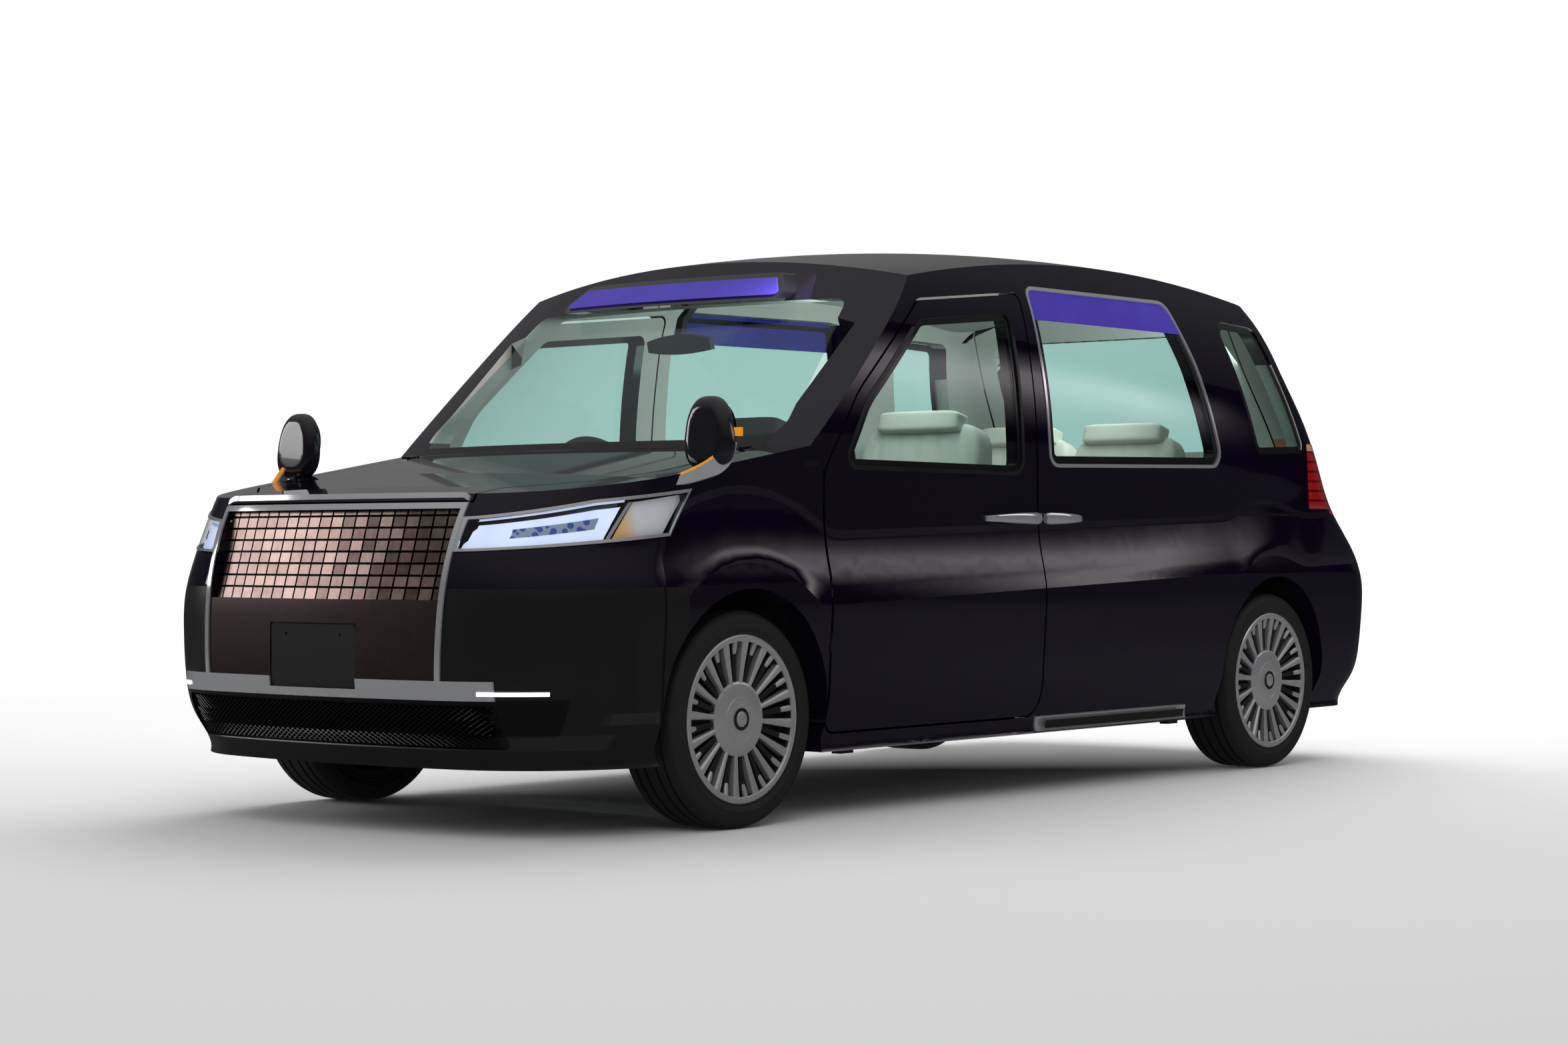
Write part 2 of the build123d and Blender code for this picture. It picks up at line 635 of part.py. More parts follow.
# Grille of many small raised tiles on a curved plate, and the plain valance below it.
TILE_COLUMNS = 20
TILE_ROWS = 8
TILE_GAP = 6.0
TILE_HEIGHT = 9.0
GRILLE_SETBACK = 8.0
GRILLE_DEPTH = 40.0
GRILLE_FOOT_SETBACK = 8.0
GRILLE_TOP_SETBACK = 80.0
GRILLE_BOW = 36.0
tile_width = 2 * LAMP_INNER_Y / TILE_COLUMNS
tile_pitch = (GRILLE_TOP_Z - VALANCE_TOP_Z) / TILE_ROWS


def grille_plate(setback, depth):
    """Curved plate between the valance and the bonnet's lip, set back from the nose."""
    with BuildPart() as plate:
        for z, fall in ((VALANCE_TOP_Z + SEAM, GRILLE_FOOT_SETBACK), (GRILLE_TOP_Z, GRILLE_TOP_SETBACK)):
            face_x = LENGTH / 2 - fall - setback
            with BuildSketch(Plane.XY.offset(z)):
                with BuildLine():
                    front = ThreePointArc(
                        (face_x - GRILLE_BOW, -LAMP_INNER_Y), (face_x, 0), (face_x - GRILLE_BOW, LAMP_INNER_Y)
                    )
                    Polyline(
                        front @ 1, (face_x - GRILLE_BOW - depth, LAMP_INNER_Y),
                        (face_x - GRILLE_BOW - depth, -LAMP_INNER_Y), front @ 0,
                    )
                make_face()
        loft(ruled=True)
    return plate.part


with BuildPart() as grooves:
    with BuildSketch(Plane.YZ.offset(FRONT_AXLE_X)):
        for column in range(1, TILE_COLUMNS):
            with Locations((-LAMP_INNER_Y + column * tile_width, (GRILLE_TOP_Z + VALANCE_TOP_Z) / 2)):
                Rectangle(TILE_GAP, GRILLE_TOP_Z)
        for row in range(1, TILE_ROWS):
            with Locations((0, VALANCE_TOP_Z + row * tile_pitch)):
                Rectangle(WIDTH, TILE_GAP)
    extrude(amount=FAR)
    add(grille_plate(GRILLE_SETBACK + TILE_HEIGHT, GRILLE_DEPTH * 4), mode=Mode.SUBTRACT)
with BuildPart() as grille:
    add(grille_plate(GRILLE_SETBACK, GRILLE_DEPTH))
    add(grooves.part, mode=Mode.SUBTRACT)
finish(grille.part, "grille")
with BuildPart() as valance:
    add(nose_wall)
    add(
        block(LENGTH / 4, FAR, -LAMP_INNER_Y, LAMP_INNER_Y, VALANCE_BOTTOM_Z, VALANCE_TOP_Z), mode=Mode.INTERSECT
    )
    add(plate_seat, mode=Mode.SUBTRACT)
    with BuildSketch(Plane.YZ.offset(plate_back_x - SEAM - PLATE_HOLE_DEPTH)):
        with Locations((PLATE_BOLT_SPACING / 2, PLATE_Z + 55), (-PLATE_BOLT_SPACING / 2, PLATE_Z + 55)):
            Circle(PLATE_HOLE_RADIUS)
    extrude(amount=PLATE_HOLE_DEPTH + 10, mode=Mode.SUBTRACT)
finish(valance.part, "valance")
with BuildPart() as number_plate:
    with BuildSketch(Plane.YZ.offset(plate_back_x)):
        with Locations((0, PLATE_Z)):
            RectangleRounded(PLATE_WIDTH, PLATE_HEIGHT, 12)
        with Locations((PLATE_BOLT_SPACING / 2, PLATE_Z + 55), (-PLATE_BOLT_SPACING / 2, PLATE_Z + 55)):
            Circle(PLATE_HOLE_RADIUS, mode=Mode.SUBTRACT)
    extrude(amount=PLATE_THICKNESS)
finish(number_plate.part, "number_plate")

# Bright frame round the grille and valance, standing a little proud of them.
TRIM_HEIGHT = 5.0
TRIM_WIDTH = 16.0
BAR_TOP_Z = VALANCE_BOTTOM_Z - 2.0
BAR_BOTTOM_Z = LOWER_GRILLE_TOP_Z + 10.0
proud_skin = envelope(-SEAM, -SEAM)
with BuildPart() as front_trim:
    add(envelope(-TRIM_HEIGHT, -TRIM_HEIGHT))
    add(proud_skin, mode=Mode.SUBTRACT)
    with BuildPart(mode=Mode.INTERSECT):
        with BuildSketch(Plane.YZ.offset(FRONT_AXLE_X)):
            with BuildLine():
                Polyline(
                    (LAMP_INNER_Y + 18, GRILLE_TOP_Z + 2),
                    (LAMP_INNER_Y + 2, BAR_TOP_Z),
                    (LOWER_GRILLE_HALF, BAR_TOP_Z),
                    (LOWER_GRILLE_HALF, BAR_BOTTOM_Z),
                    (-LOWER_GRILLE_HALF, BAR_BOTTOM_Z),
                    (-LOWER_GRILLE_HALF, BAR_TOP_Z),
                    (-LAMP_INNER_Y - 2, BAR_TOP_Z),
                    (-LAMP_INNER_Y - 18, GRILLE_TOP_Z + 2),
                    close=True,
                )
            make_face()
            with BuildLine():
                Polyline(
                    (LAMP_INNER_Y + 2, GRILLE_TOP_Z + 2 - TRIM_WIDTH),
                    (LAMP_INNER_Y - 14, BAR_TOP_Z),
                    (-LAMP_INNER_Y + 14, BAR_TOP_Z),
                    (-LAMP_INNER_Y - 2, GRILLE_TOP_Z + 2 - TRIM_WIDTH),
                    close=True,
                )
            make_face(mode=Mode.SUBTRACT)
        extrude(amount=FAR)
    add(plate_seat, mode=Mode.SUBTRACT)
finish(front_trim.part, "front_trim")

# Rear bumper.
with BuildPart() as rear_bumper:
    add(tail_wall)
    add(rear_bumper_zone, mode=Mode.INTERSECT)
    add(rear_arch, mode=Mode.SUBTRACT)
finish(rear_bumper.part, "rear_bumper")

# Roof with the header above the windscreen. The tailgate's hinge barrels lie along its rear edge.
TAILGATE_HINGE_Y = 60.0
tailgate_axis_x = TAILGATE_TOP_X - HINGE_GAP / 2
tailgate_axis_z = HEIGHT - (ROOF_PEAK_X - TAILGATE_TOP_X) ** 2 / (2 * ROOF_LENGTH_RADIUS)
with BuildPart() as roof_panel:
    add(wall)
    add(roof_zone, mode=Mode.INTERSECT)
    add(screen, mode=Mode.SUBTRACT)
finish(roof_panel.part, "roof_panel")
with BuildPart() as tailgate:
    add(tail_wall)
    add(tailgate_zone, mode=Mode.INTERSECT)
    add(rear_screen, mode=Mode.SUBTRACT)
    add(
        lid_hinge_half(
            tailgate_axis_x, tailgate_axis_z, HINGE_GAP / 2 - SEAM, TAILGATE_HINGE_Y, tailgate_axis_x - 30
        )
    )
finish(tailgate.part, "tailgate")
with BuildPart() as tail_lamp_left:
    add(tail_left)
    add(tail_lamp_zone, mode=Mode.INTERSECT)
    add(tailgate_hole, mode=Mode.SUBTRACT)
    add(rear_bumper_hole, mode=Mode.SUBTRACT)
finish(both_sides(tail_lamp_left.part), "tail_lamps")

# Front doors, each with its hinge halves.
with BuildPart() as front_door_left:
    add(left_wall)
    add(front_door_zone, mode=Mode.INTERSECT)
    add(front_window, mode=Mode.SUBTRACT)
    add(roof_space(-FAR, GAP), mode=Mode.SUBTRACT)
    for level in HINGE_LEVELS:
        with BuildSketch(Plane.XY.offset(level)):
            with Locations((door_axis_x, door_axis_y)):
                Circle(HINGE_PIN_RADIUS)
            with Locations((door_axis_x - HINGE_GAP / 2, door_axis_y - HINGE_PIN_RADIUS / 2 - 2)):
                Rectangle(HINGE_GAP, HINGE_PIN_RADIUS)
        extrude(amount=HINGE_HEIGHT / 2)
front_door_right = mirror(front_door_left.part, about=Plane.XZ)
finish(front_door_left.part, "front_door_left")
finish(front_door_right, "front_door_right")

# Sliding rear doors, fixed shut.
with BuildPart() as rear_door_left:
    add(common(outer, side_block))
    add(rear_door_zone, mode=Mode.INTERSECT)
    add(inner, mode=Mode.SUBTRACT)
    add(rear_window, mode=Mode.SUBTRACT)
    add(roof_hole, mode=Mode.SUBTRACT)
rear_doors = both_sides(rear_door_left.part)
finish(rear_doors, "rear_doors")

# Window glass, let into the walls.
with BuildPart() as windscreen:
    add(glass_shell)
    add(screen, mode=Mode.INTERSECT)
finish(windscreen.part, "windscreen")
side_glass = common(glass_shell, side_block)
with BuildPart() as front_glass_left:
    add(side_glass)
    add(front_window, mode=Mode.INTERSECT)
front_glass_right = mirror(front_glass_left.part, about=Plane.XZ)
finish(front_glass_left.part, "front_glass_left")
finish(front_glass_right, "front_glass_right")
with BuildPart() as rear_glass_left:
    add(side_glass)
    add(rear_window, mode=Mode.INTERSECT)
with BuildPart() as quarter_glass_left:
    add(side_glass)
    add(quarter_window, mode=Mode.INTERSECT)
    add(roof_hole, mode=Mode.SUBTRACT)
finish(both_sides(rear_glass_left.part), "rear_door_glass")
finish(both_sides(quarter_glass_left.part), "quarter_glass")
with BuildPart() as tailgate_glass:
    add(glass_shell)
    add(rear_screen, mode=Mode.INTERSECT)
finish(tailgate_glass.part, "tailgate_glass")

# Lit signs: one in a housing over the windscreen, one across the top of each rear window.
SIGN_DEPTH = 40.0
SIGN_LENS_THICKNESS = 5.0
SIGN_FRAME = 16.0
SIGN_BOTTOM_Z = 1474.0
SIGN_TOP_Z = 1562.0
SIGN_BOTTOM_HALF = 462.0
SIGN_TOP_HALF = 385.0
BAND_HEIGHT = 100.0
BAND_PROUD = 2.0
sign_corners = (
    (-SIGN_BOTTOM_HALF, SIGN_BOTTOM_Z), (SIGN_BOTTOM_HALF, SIGN_BOTTOM_Z),
    (SIGN_TOP_HALF, SIGN_TOP_Z), (-SIGN_TOP_HALF, SIGN_TOP_Z),
)
sign_zone = common(prism(Plane.YZ, sign_corners, (25, 25, 25, 25)), block(0, FAR, -FAR, FAR, 0, FAR))
sign_lens_zone = common(
    prism(Plane.YZ, sign_corners, (25, 25, 25, 25), -SIGN_FRAME), block(0, FAR, -FAR, FAR, 0, FAR)
)
sign_front = envelope(-SIGN_DEPTH, -SIGN_DEPTH)
with BuildPart() as sign_housing:
    add(sign_front)
    add(sign_zone, mode=Mode.INTERSECT)
    add(proud_skin, mode=Mode.SUBTRACT)
finish(sign_housing.part, "sign_housing")
with BuildPart() as sign_lens:
    add(envelope(-SIGN_DEPTH - SIGN_LENS_THICKNESS, -SIGN_DEPTH - SIGN_LENS_THICKNESS))
    add(sign_lens_zone, mode=Mode.INTERSECT)
    add(envelope(-SIGN_DEPTH - SEAM, -SIGN_DEPTH - SEAM), mode=Mode.SUBTRACT)
finish(sign_lens.part, "sign_lens")
with BuildPart() as band_left:
    add(common(envelope(GLASS_INSET - BAND_PROUD - SEAM, 0), side_block))
    add(rear_window, mode=Mode.INTERSECT)
    add(block(-FAR, FAR, 0, FAR, BELT_Z + 578 - BAND_HEIGHT, FAR), mode=Mode.INTERSECT)
    add(envelope(GLASS_INSET - SEAM, 0), mode=Mode.SUBTRACT)
finish(both_sides(band_left.part), "side_signs")

# Door handles, a pair meeting at each middle shut line, and bright step frames on the sills below the rear doors.
HANDLE_HEIGHT = 24.0
HANDLE_LENGTH = 285.0
HANDLE_PROUD = 20.0
HANDLE_Z = 834.0
STEP_PROUD = 6.0
handle_skin = common(without(envelope(-HANDLE_PROUD, 0), proud_skin), side_block)
step_skin = common(without(envelope(-STEP_PROUD, 0), proud_skin), side_block)


def handle_bar(x):
    """Rounded bar along the left side around a place."""
    with BuildPart() as bar:
        with BuildSketch(Plane.XZ):
            with Locations((x, HANDLE_Z)):
                SlotOverall(HANDLE_LENGTH, HANDLE_HEIGHT)
        extrude(amount=-FAR)
        add(handle_skin, mode=Mode.INTERSECT)
    return bar.part


front_handle_left = handle_bar(B_POST_X + GAP + HANDLE_LENGTH / 2)
finish(front_handle_left, "front_handle_left")
finish(mirror(front_handle_left, about=Plane.XZ), "front_handle_right")
finish(both_sides(handle_bar(B_POST_X - 2 * GAP - HANDLE_LENGTH / 2)), "rear_handles")
with BuildPart() as step_left:
    add(step_skin)
    add(block(C_POST_X + 270, B_POST_X - 10, 0, FAR, GROUND_CLEARANCE + 6, DOOR_BOTTOM_Z - 6), mode=Mode.INTERSECT)
finish(both_sides(step_left.part), "step_trims")

# Fender mirrors: tall pods on flat stalks that sweep down to the front wings.
MIRROR_X = FRONT_AXLE_X + 135.0
MIRROR_Y = 815.0
MIRROR_Z = 1064.0
MIRROR_SIZE = (78.0, 125.0, 184.0)
STALK_INNER_Y = 797.0
STALK_OUTER_Y = 829.0
stalk_corners = (
    (MIRROR_X - 20, MIRROR_Z), (MIRROR_X + 22, MIRROR_Z), (MIRROR_X + 52, MIRROR_Z - 78),
    (MIRROR_X + 150, MIRROR_Z - 134), (MIRROR_X + 145, MIRROR_Z - 165), (MIRROR_X + 10, MIRROR_Z - 150),
)
with BuildPart() as mirror_left:
    with BuildSketch(Plane.YZ.offset(MIRROR_X - MIRROR_SIZE[0] / 2)):
        with Locations((MIRROR_Y, MIRROR_Z)):
            RectangleRounded(MIRROR_SIZE[1], MIRROR_SIZE[2], 58)
    extrude(amount=MIRROR_SIZE[0])
    fillet(mirror_left.faces().sort_by(Axis.X)[-1].edges(), 46)
    add(common(prism(Plane.XZ, stalk_corners), block(-FAR, FAR, STALK_INNER_Y, STALK_OUTER_Y, 0, FAR)))
    add(proud_skin, mode=Mode.SUBTRACT)
finish(both_sides(mirror_left.part), "mirrors")

# Floor: low under the cabin, raised over the rear axle.
RAISED_FLOOR_Z = 345.0
RAISED_FLOOR_THICKNESS = 50.0
RISER_X = REAR_AXLE_X + 110.0
RISER_THICKNESS = 50.0
FLOOR_FRONT_X = DOOR_FRONT_X - 10.0
FLOOR_REAR_X = -LENGTH / 2 + 200.0
rear_wheel_space = wheel_space(
    REAR_AXLE_X, REAR_LINER_INNER_Y - LINER_THICKNESS - SEAM, LINER_RADIUS + LINER_THICKNESS + SEAM
)
with BuildPart() as floor_profile:
    with BuildSketch(Plane.XZ):
        with BuildLine():
            Polyline(
                (FLOOR_FRONT_X, GROUND_CLEARANCE),
                (FLOOR_FRONT_X, SILL_TOP_Z),
                (RISER_X + RISER_THICKNESS, SILL_TOP_Z),
                (RISER_X + RISER_THICKNESS, RAISED_FLOOR_Z + RAISED_FLOOR_THICKNESS),
                (FLOOR_REAR_X, RAISED_FLOOR_Z + RAISED_FLOOR_THICKNESS),
                (FLOOR_REAR_X, RAISED_FLOOR_Z),
                (RISER_X, RAISED_FLOOR_Z),
                (RISER_X, GROUND_CLEARANCE),
                close=True,
            )
        make_face()
    extrude(amount=WIDTH, both=True)
with BuildPart() as floor_pan:
    add(cabin)
    add(floor_profile.part, mode=Mode.INTERSECT)
    add(rear_wheel_space, mode=Mode.SUBTRACT)
    add(front_wheel_space, mode=Mode.SUBTRACT)
finish(floor_pan.part, "floor_pan")

# Wheelhouse liners, open below.
LINER_FOOT_Z = 262.0


def liner(x, inner_y):
    """Left half-round liner of one axle with its inner wall."""
    with BuildPart() as shell:
        add(round_bar(x, TYRE_RADIUS, LINER_RADIUS + LINER_THICKNESS, inner_y - LINER_THICKNESS, WIDTH))
        add(round_bar(x, TYRE_RADIUS, LINER_RADIUS, inner_y, WIDTH), mode=Mode.SUBTRACT)
        add(block(-FAR, FAR, 0, FAR, 0, LINER_FOOT_Z), mode=Mode.SUBTRACT)
        add(cabin, mode=Mode.INTERSECT)
    return shell.part


AXLE_TUBE_RADIUS = 34.0
AXLE_HOLE_RADIUS = AXLE_TUBE_RADIUS + 16.0
with BuildPart() as rear_liner_left:
    add(liner(REAR_AXLE_X, REAR_LINER_INNER_Y))
    add(round_bar(REAR_AXLE_X, TYRE_RADIUS, AXLE_HOLE_RADIUS, 0, WIDTH), mode=Mode.SUBTRACT)
finish(both_sides(liner(FRONT_AXLE_X, FRONT_LINER_INNER_Y)), "front_liners")
finish(both_sides(rear_liner_left.part), "rear_liners")

# Wheels: a tyre on a rim with a deep barrel and a face of 32 straight spokes round a domed hub disc.
wheel_y = TRACK / 2
RIM_HALF = TYRE_WIDTH / 2 - 9.0
SPOKE_OUTER_RADIUS = RIM_LIP_RADIUS - 14.0
SPOKE_THICKNESS = 16.0
SPOKE_GAP_ANGLE = 6.4
DISC_FACE = RIM_HALF - 14.0
HUB_BOSS_RADIUS = 59.0
HUB_BOSS_PROUD = 8.0
HUB_BACK = -20.0
SPOKE_COUNT = 32


def wheel_profile(points):
    """Ring turned about a wheel's own axis from (radius, distance outward) corners."""
    with BuildPart() as ring:
        with BuildSketch(Plane.XY):
            with BuildLine():
                Polyline(*points, close=True)
            make_face()
        revolve(axis=Axis.Y)
    return ring.part


with BuildPart() as tyre:
    with BuildSketch(Plane.XY) as tyre_section:
        with BuildLine():
            Polyline(
                (BEAD_RADIUS, -RIM_HALF), (RIM_LIP_RADIUS, -RIM_HALF), (TYRE_RADIUS - 24, -TYRE_WIDTH / 2),
                (TYRE_RADIUS, -TYRE_WIDTH / 2 + 20), (TYRE_RADIUS, TYRE_WIDTH / 2 - 20),
                (TYRE_RADIUS - 24, TYRE_WIDTH / 2), (RIM_LIP_RADIUS, RIM_HALF), (BEAD_RADIUS, RIM_HALF), close=True,
            )
        make_face()
        shoulders = tyre_section.vertices().filter_by_position(Axis.X, TYRE_RADIUS - 30, TYRE_RADIUS + 1)
        fillet(shoulders, 14)
    revolve(axis=Axis.Y)
with BuildPart() as rim:
    seat = BEAD_RADIUS - SEAM
    add(
        wheel_profile(
            (
                (seat - RIM_WALL, -RIM_HALF), (seat, -RIM_HALF), (seat, RIM_HALF + SEAM),
                (RIM_LIP_RADIUS, RIM_HALF + SEAM), (RIM_LIP_RADIUS, RIM_HALF + 6), (seat - RIM_WALL, RIM_HALF + 6),
            )
        )
    )
    add(
        wheel_profile(
            (
                (HUB_BORE_RADIUS, HUB_BACK), (72, HUB_BACK), (72, DISC_FACE - SPOKE_THICKNESS),
                (seat - 1, DISC_FACE - SPOKE_THICKNESS), (seat - 1, DISC_FACE), (HUB_DISC_RADIUS, DISC_FACE),
                (HUB_DISC_RADIUS - 8, DISC_FACE + 6), (HUB_BOSS_RADIUS, DISC_FACE + 10),
                (HUB_BOSS_RADIUS, DISC_FACE + 10 + HUB_BOSS_PROUD), (HUB_BORE_RADIUS, DISC_FACE + 10 + HUB_BOSS_PROUD),
            )
        )
    )
    with BuildSketch(Plane.XZ.offset(-DISC_FACE - 1)):
        half_gap = radians(SPOKE_GAP_ANGLE) / 2
        inside, outside = HUB_DISC_RADIUS + 5, SPOKE_OUTER_RADIUS - 4
        with PolarLocations(0, SPOKE_COUNT):
            with BuildLine():
                Polyline(
                    (inside, -inside * half_gap), (outside, -outside * half_gap), (outside, outside * half_gap),
                    (inside, inside * half_gap), close=True,
                )
            make_face()
    extrude(amount=SPOKE_THICKNESS + 2, mode=Mode.SUBTRACT)
for name, x, side in (
    ("front_left", FRONT_AXLE_X, 1), ("front_right", FRONT_AXLE_X, -1),
    ("rear_left", REAR_AXLE_X, 1), ("rear_right", REAR_AXLE_X, -1),
):
    place = Location((x, side * wheel_y, TYRE_RADIUS), (0, 0, 0 if side > 0 else 180))
    finish(place * tyre.part, f"tyre_{name}")
    finish(place * rim.part, f"rim_{name}")

# Front suspension frame with two arms a side, and the steering knuckles pinned between them.
KINGPIN_INSET = 60.0
KINGPIN_RADIUS = 14.0
KNUCKLE_HEIGHT = 210.0
ARM_HEIGHT = 26.0
LUG_RADIUS = 30.0
BRACKET_Y = 470.0
CROSSMEMBER_TOP_Z = 240.0
RAIL_Y = 360.0
kingpin_y = wheel_y - KINGPIN_INSET
spindle_radius = HUB_BORE_RADIUS - RUNNING_CLEARANCE
arm_levels = (
    TYRE_RADIUS - KNUCKLE_HEIGHT / 2 - SEAM - ARM_HEIGHT,
    TYRE_RADIUS + KNUCKLE_HEIGHT / 2 + SEAM,
)
with BuildPart() as suspension_left:
    for arm_z in arm_levels:
        with BuildSketch(Plane.XY.offset(arm_z)):
            with Locations((FRONT_AXLE_X, (kingpin_y + BRACKET_Y) / 2)):
                Rectangle(44, kingpin_y - BRACKET_Y + 20)
            with Locations((FRONT_AXLE_X, kingpin_y)):
                Circle(LUG_RADIUS)
                Circle(KINGPIN_RADIUS + RUNNING_CLEARANCE, mode=Mode.SUBTRACT)
        extrude(amount=ARM_HEIGHT)
    add(block(FRONT_AXLE_X - 55, FRONT_AXLE_X + 55, BRACKET_Y - 34, BRACKET_Y, arm_levels[0], arm_levels[1] + ARM_HEIGHT))
    add(block(FRONT_AXLE_X - 55, FRONT_AXLE_X + 55, -1, BRACKET_Y, CROSSMEMBER_TOP_Z - 60, CROSSMEMBER_TOP_Z))
    add(block(FLOOR_FRONT_X + SEAM, FRONT_AXLE_X, RAIL_Y - 30, RAIL_Y + 30, CROSSMEMBER_TOP_Z - 50, CROSSMEMBER_TOP_Z))
with BuildPart() as front_subframe:
    add(suspension_left.part)
    mirror(about=Plane.XZ)
finish(front_subframe.part, "front_subframe")
with BuildPart() as knuckle_left:
    with BuildSketch(Plane.XY.offset(TYRE_RADIUS - KNUCKLE_HEIGHT / 2)):
        with Locations((FRONT_AXLE_X, kingpin_y)):
            RectangleRounded(60, 44, 10)
    extrude(amount=KNUCKLE_HEIGHT)
    with BuildSketch(Plane.XY.offset(arm_levels[0])):
        with Locations((FRONT_AXLE_X, kingpin_y)):
            Circle(KINGPIN_RADIUS)
    extrude(amount=arm_levels[1] + ARM_HEIGHT - arm_levels[0])
    add(round_bar(FRONT_AXLE_X, TYRE_RADIUS, 52, kingpin_y, wheel_y + HUB_BACK - SEAM))
    add(round_bar(FRONT_AXLE_X, TYRE_RADIUS, spindle_radius, kingpin_y, wheel_y + DISC_FACE + 14))
finish(knuckle_left.part, "knuckle_left")
finish(mirror(knuckle_left.part, about=Plane.XZ), "knuckle_right")

# Rear axle: a tube between the wheels on two trailing arms.
TRAILING_ARM_Y = 500.0
with BuildPart() as rear_axle:
    add(round_bar(REAR_AXLE_X, TYRE_RADIUS, AXLE_TUBE_RADIUS, -wheel_y - HUB_BACK + SEAM, wheel_y + HUB_BACK - SEAM))
    add(round_bar(REAR_AXLE_X, TYRE_RADIUS, spindle_radius, -wheel_y - DISC_FACE - 14, wheel_y + DISC_FACE + 14))
    for arm_y in (-TRAILING_ARM_Y, TRAILING_ARM_Y):
        add(block(REAR_AXLE_X, RISER_X - SEAM, arm_y - 25, arm_y + 25, TYRE_RADIUS - 26, TYRE_RADIUS + 26))
finish(rear_axle.part, "rear_axle")

# Engine as a plain block on the crossmember.
with BuildPart() as engine:
    add(block(FRONT_AXLE_X - 170, FRONT_AXLE_X + 330, -330, 330, CROSSMEMBER_TOP_Z + SEAM, 760))
finish(engine.part, "engine")

# Dashboard across the cabin with the steering column, and the wheel before the driver on the right.
DASH_REAR_X = DOOR_FRONT_X - 260.0
DRIVER_Y = -360.0
COLUMN_RADIUS = 24.0
COLUMN_LENGTH = 170.0
STEERING_HUB_HALF = 8.0
STEERING_RADIUS = 182.0
STEERING_GRIP = 14.0
STEERING_RAKE = 24.0
steering_hub = Vector(DASH_REAR_X - 95, DRIVER_Y, 915)
steering_way = Vector(-cos(radians(STEERING_RAKE)), 0, sin(radians(STEERING_RAKE)))
steering_plane = Plane(origin=steering_hub, x_dir=(0, 1, 0), z_dir=steering_way)
with BuildPart() as dashboard:
    add(cabin)
    with BuildPart(mode=Mode.INTERSECT):
        with BuildSketch(Plane.XZ):
            with BuildLine():
                Polyline(
                    (BULKHEAD_X - SEAM, 560), (BULKHEAD_X - SEAM, 985), (DASH_REAR_X + 70, 960),
                    (DASH_REAR_X, 900), (DASH_REAR_X + 10, 780), (DASH_REAR_X + 90, 560), close=True,
                )
            make_face()
        extrude(amount=POST_INNER_Y - SEAM, both=True)
    with BuildSketch(steering_plane.offset(-STEERING_HUB_HALF - SEAM)):
        Circle(COLUMN_RADIUS)
    extrude(amount=-COLUMN_LENGTH)
finish(dashboard.part, "dashboard")
with BuildPart() as steering_wheel:
    with BuildSketch(Plane(origin=steering_hub, x_dir=steering_way, z_dir=(0, -1, 0))):
        with Locations((0, STEERING_RADIUS)):
            Circle(STEERING_GRIP)
    revolve(axis=Axis(steering_hub, steering_way))
    with BuildSketch(steering_plane.offset(-STEERING_HUB_HALF)):
        with Locations((0, 0)):
            Circle(55)
        with Locations((STEERING_RADIUS / 2, 0), (-STEERING_RADIUS / 2, 0)):
            Rectangle(STEERING_RADIUS, 34)
    extrude(amount=2 * STEERING_HUB_HALF)
finish(steering_wheel.part, "steering_wheel")

# Seats.


def seat(x, y, width, cushion_depth, back_height, recline, base_z):
    """Cushion, reclined back and headrest of one seat, its cushion's front at x."""
    rise = Vector(-sin(radians(recline)), 0, cos(radians(recline)))
    hip = Vector(x - cushion_depth + 60, y, base_z + 190)
    with BuildPart() as one:
        with BuildSketch(Plane.XZ.offset(-y)) as cushion:
            with Locations((x - cushion_depth / 2, base_z + 95)):
                RectangleRounded(cushion_depth, 190, 55)
        extrude(amount=width / 2, both=True)
        with BuildSketch(Plane(origin=hip, x_dir=(0, 1, 0), z_dir=rise)):
            RectangleRounded(width, 110, 45)
        extrude(amount=back_height, dir=rise)
        with BuildSketch(Plane(origin=hip, x_dir=(0, 1, 0), z_dir=rise)):
            RectangleRounded(width * 0.9, 90, 40)
        extrude(amount=-120, dir=rise)
        with BuildSketch(Plane(origin=hip + rise * back_height, x_dir=(0, 1, 0), z_dir=rise)):
            with Locations((-70, 0), (70, 0)):
                Circle(8)
        extrude(amount=50)
        with BuildSketch(Plane(origin=hip + rise * (back_height + 45), x_dir=(0, 1, 0), z_dir=rise)):
            RectangleRounded(270, 90, 40)
        extrude(amount=150)
    return one.part


seat_floor = SILL_TOP_Z + SEAM
with BuildPart() as driver_seat:
    add(seat(DOOR_FRONT_X - 500, DRIVER_Y, 480, 500, 560, 14, seat_floor + 60))
    add(block(DOOR_FRONT_X - 950, DOOR_FRONT_X - 560, DRIVER_Y - 180, DRIVER_Y + 180, seat_floor, seat_floor + 70))
finish(driver_seat.part, "driver_seat")
with BuildPart() as passenger_seat:
    add(seat(DOOR_FRONT_X - 500, -DRIVER_Y, 480, 500, 560, 14, seat_floor + 60))
    add(block(DOOR_FRONT_X - 950, DOOR_FRONT_X - 560, -DRIVER_Y - 180, -DRIVER_Y + 180, seat_floor, seat_floor + 70))
finish(passenger_seat.part, "passenger_seat")
BENCH_X = C_POST_X + 620.0
with BuildPart() as rear_bench:
    for place_y in (-430, 0, 430):
        add(seat(BENCH_X, place_y, 431, 500, 520, 16, seat_floor + 90))
    add(block(BENCH_X - 420, BENCH_X - 60, -600, 600, seat_floor, seat_floor + 100))
finish(rear_bench.part, "rear_bench")
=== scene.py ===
"""Looks of the taxi cab: paint, glass, lamps, wheels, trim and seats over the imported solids."""

import math

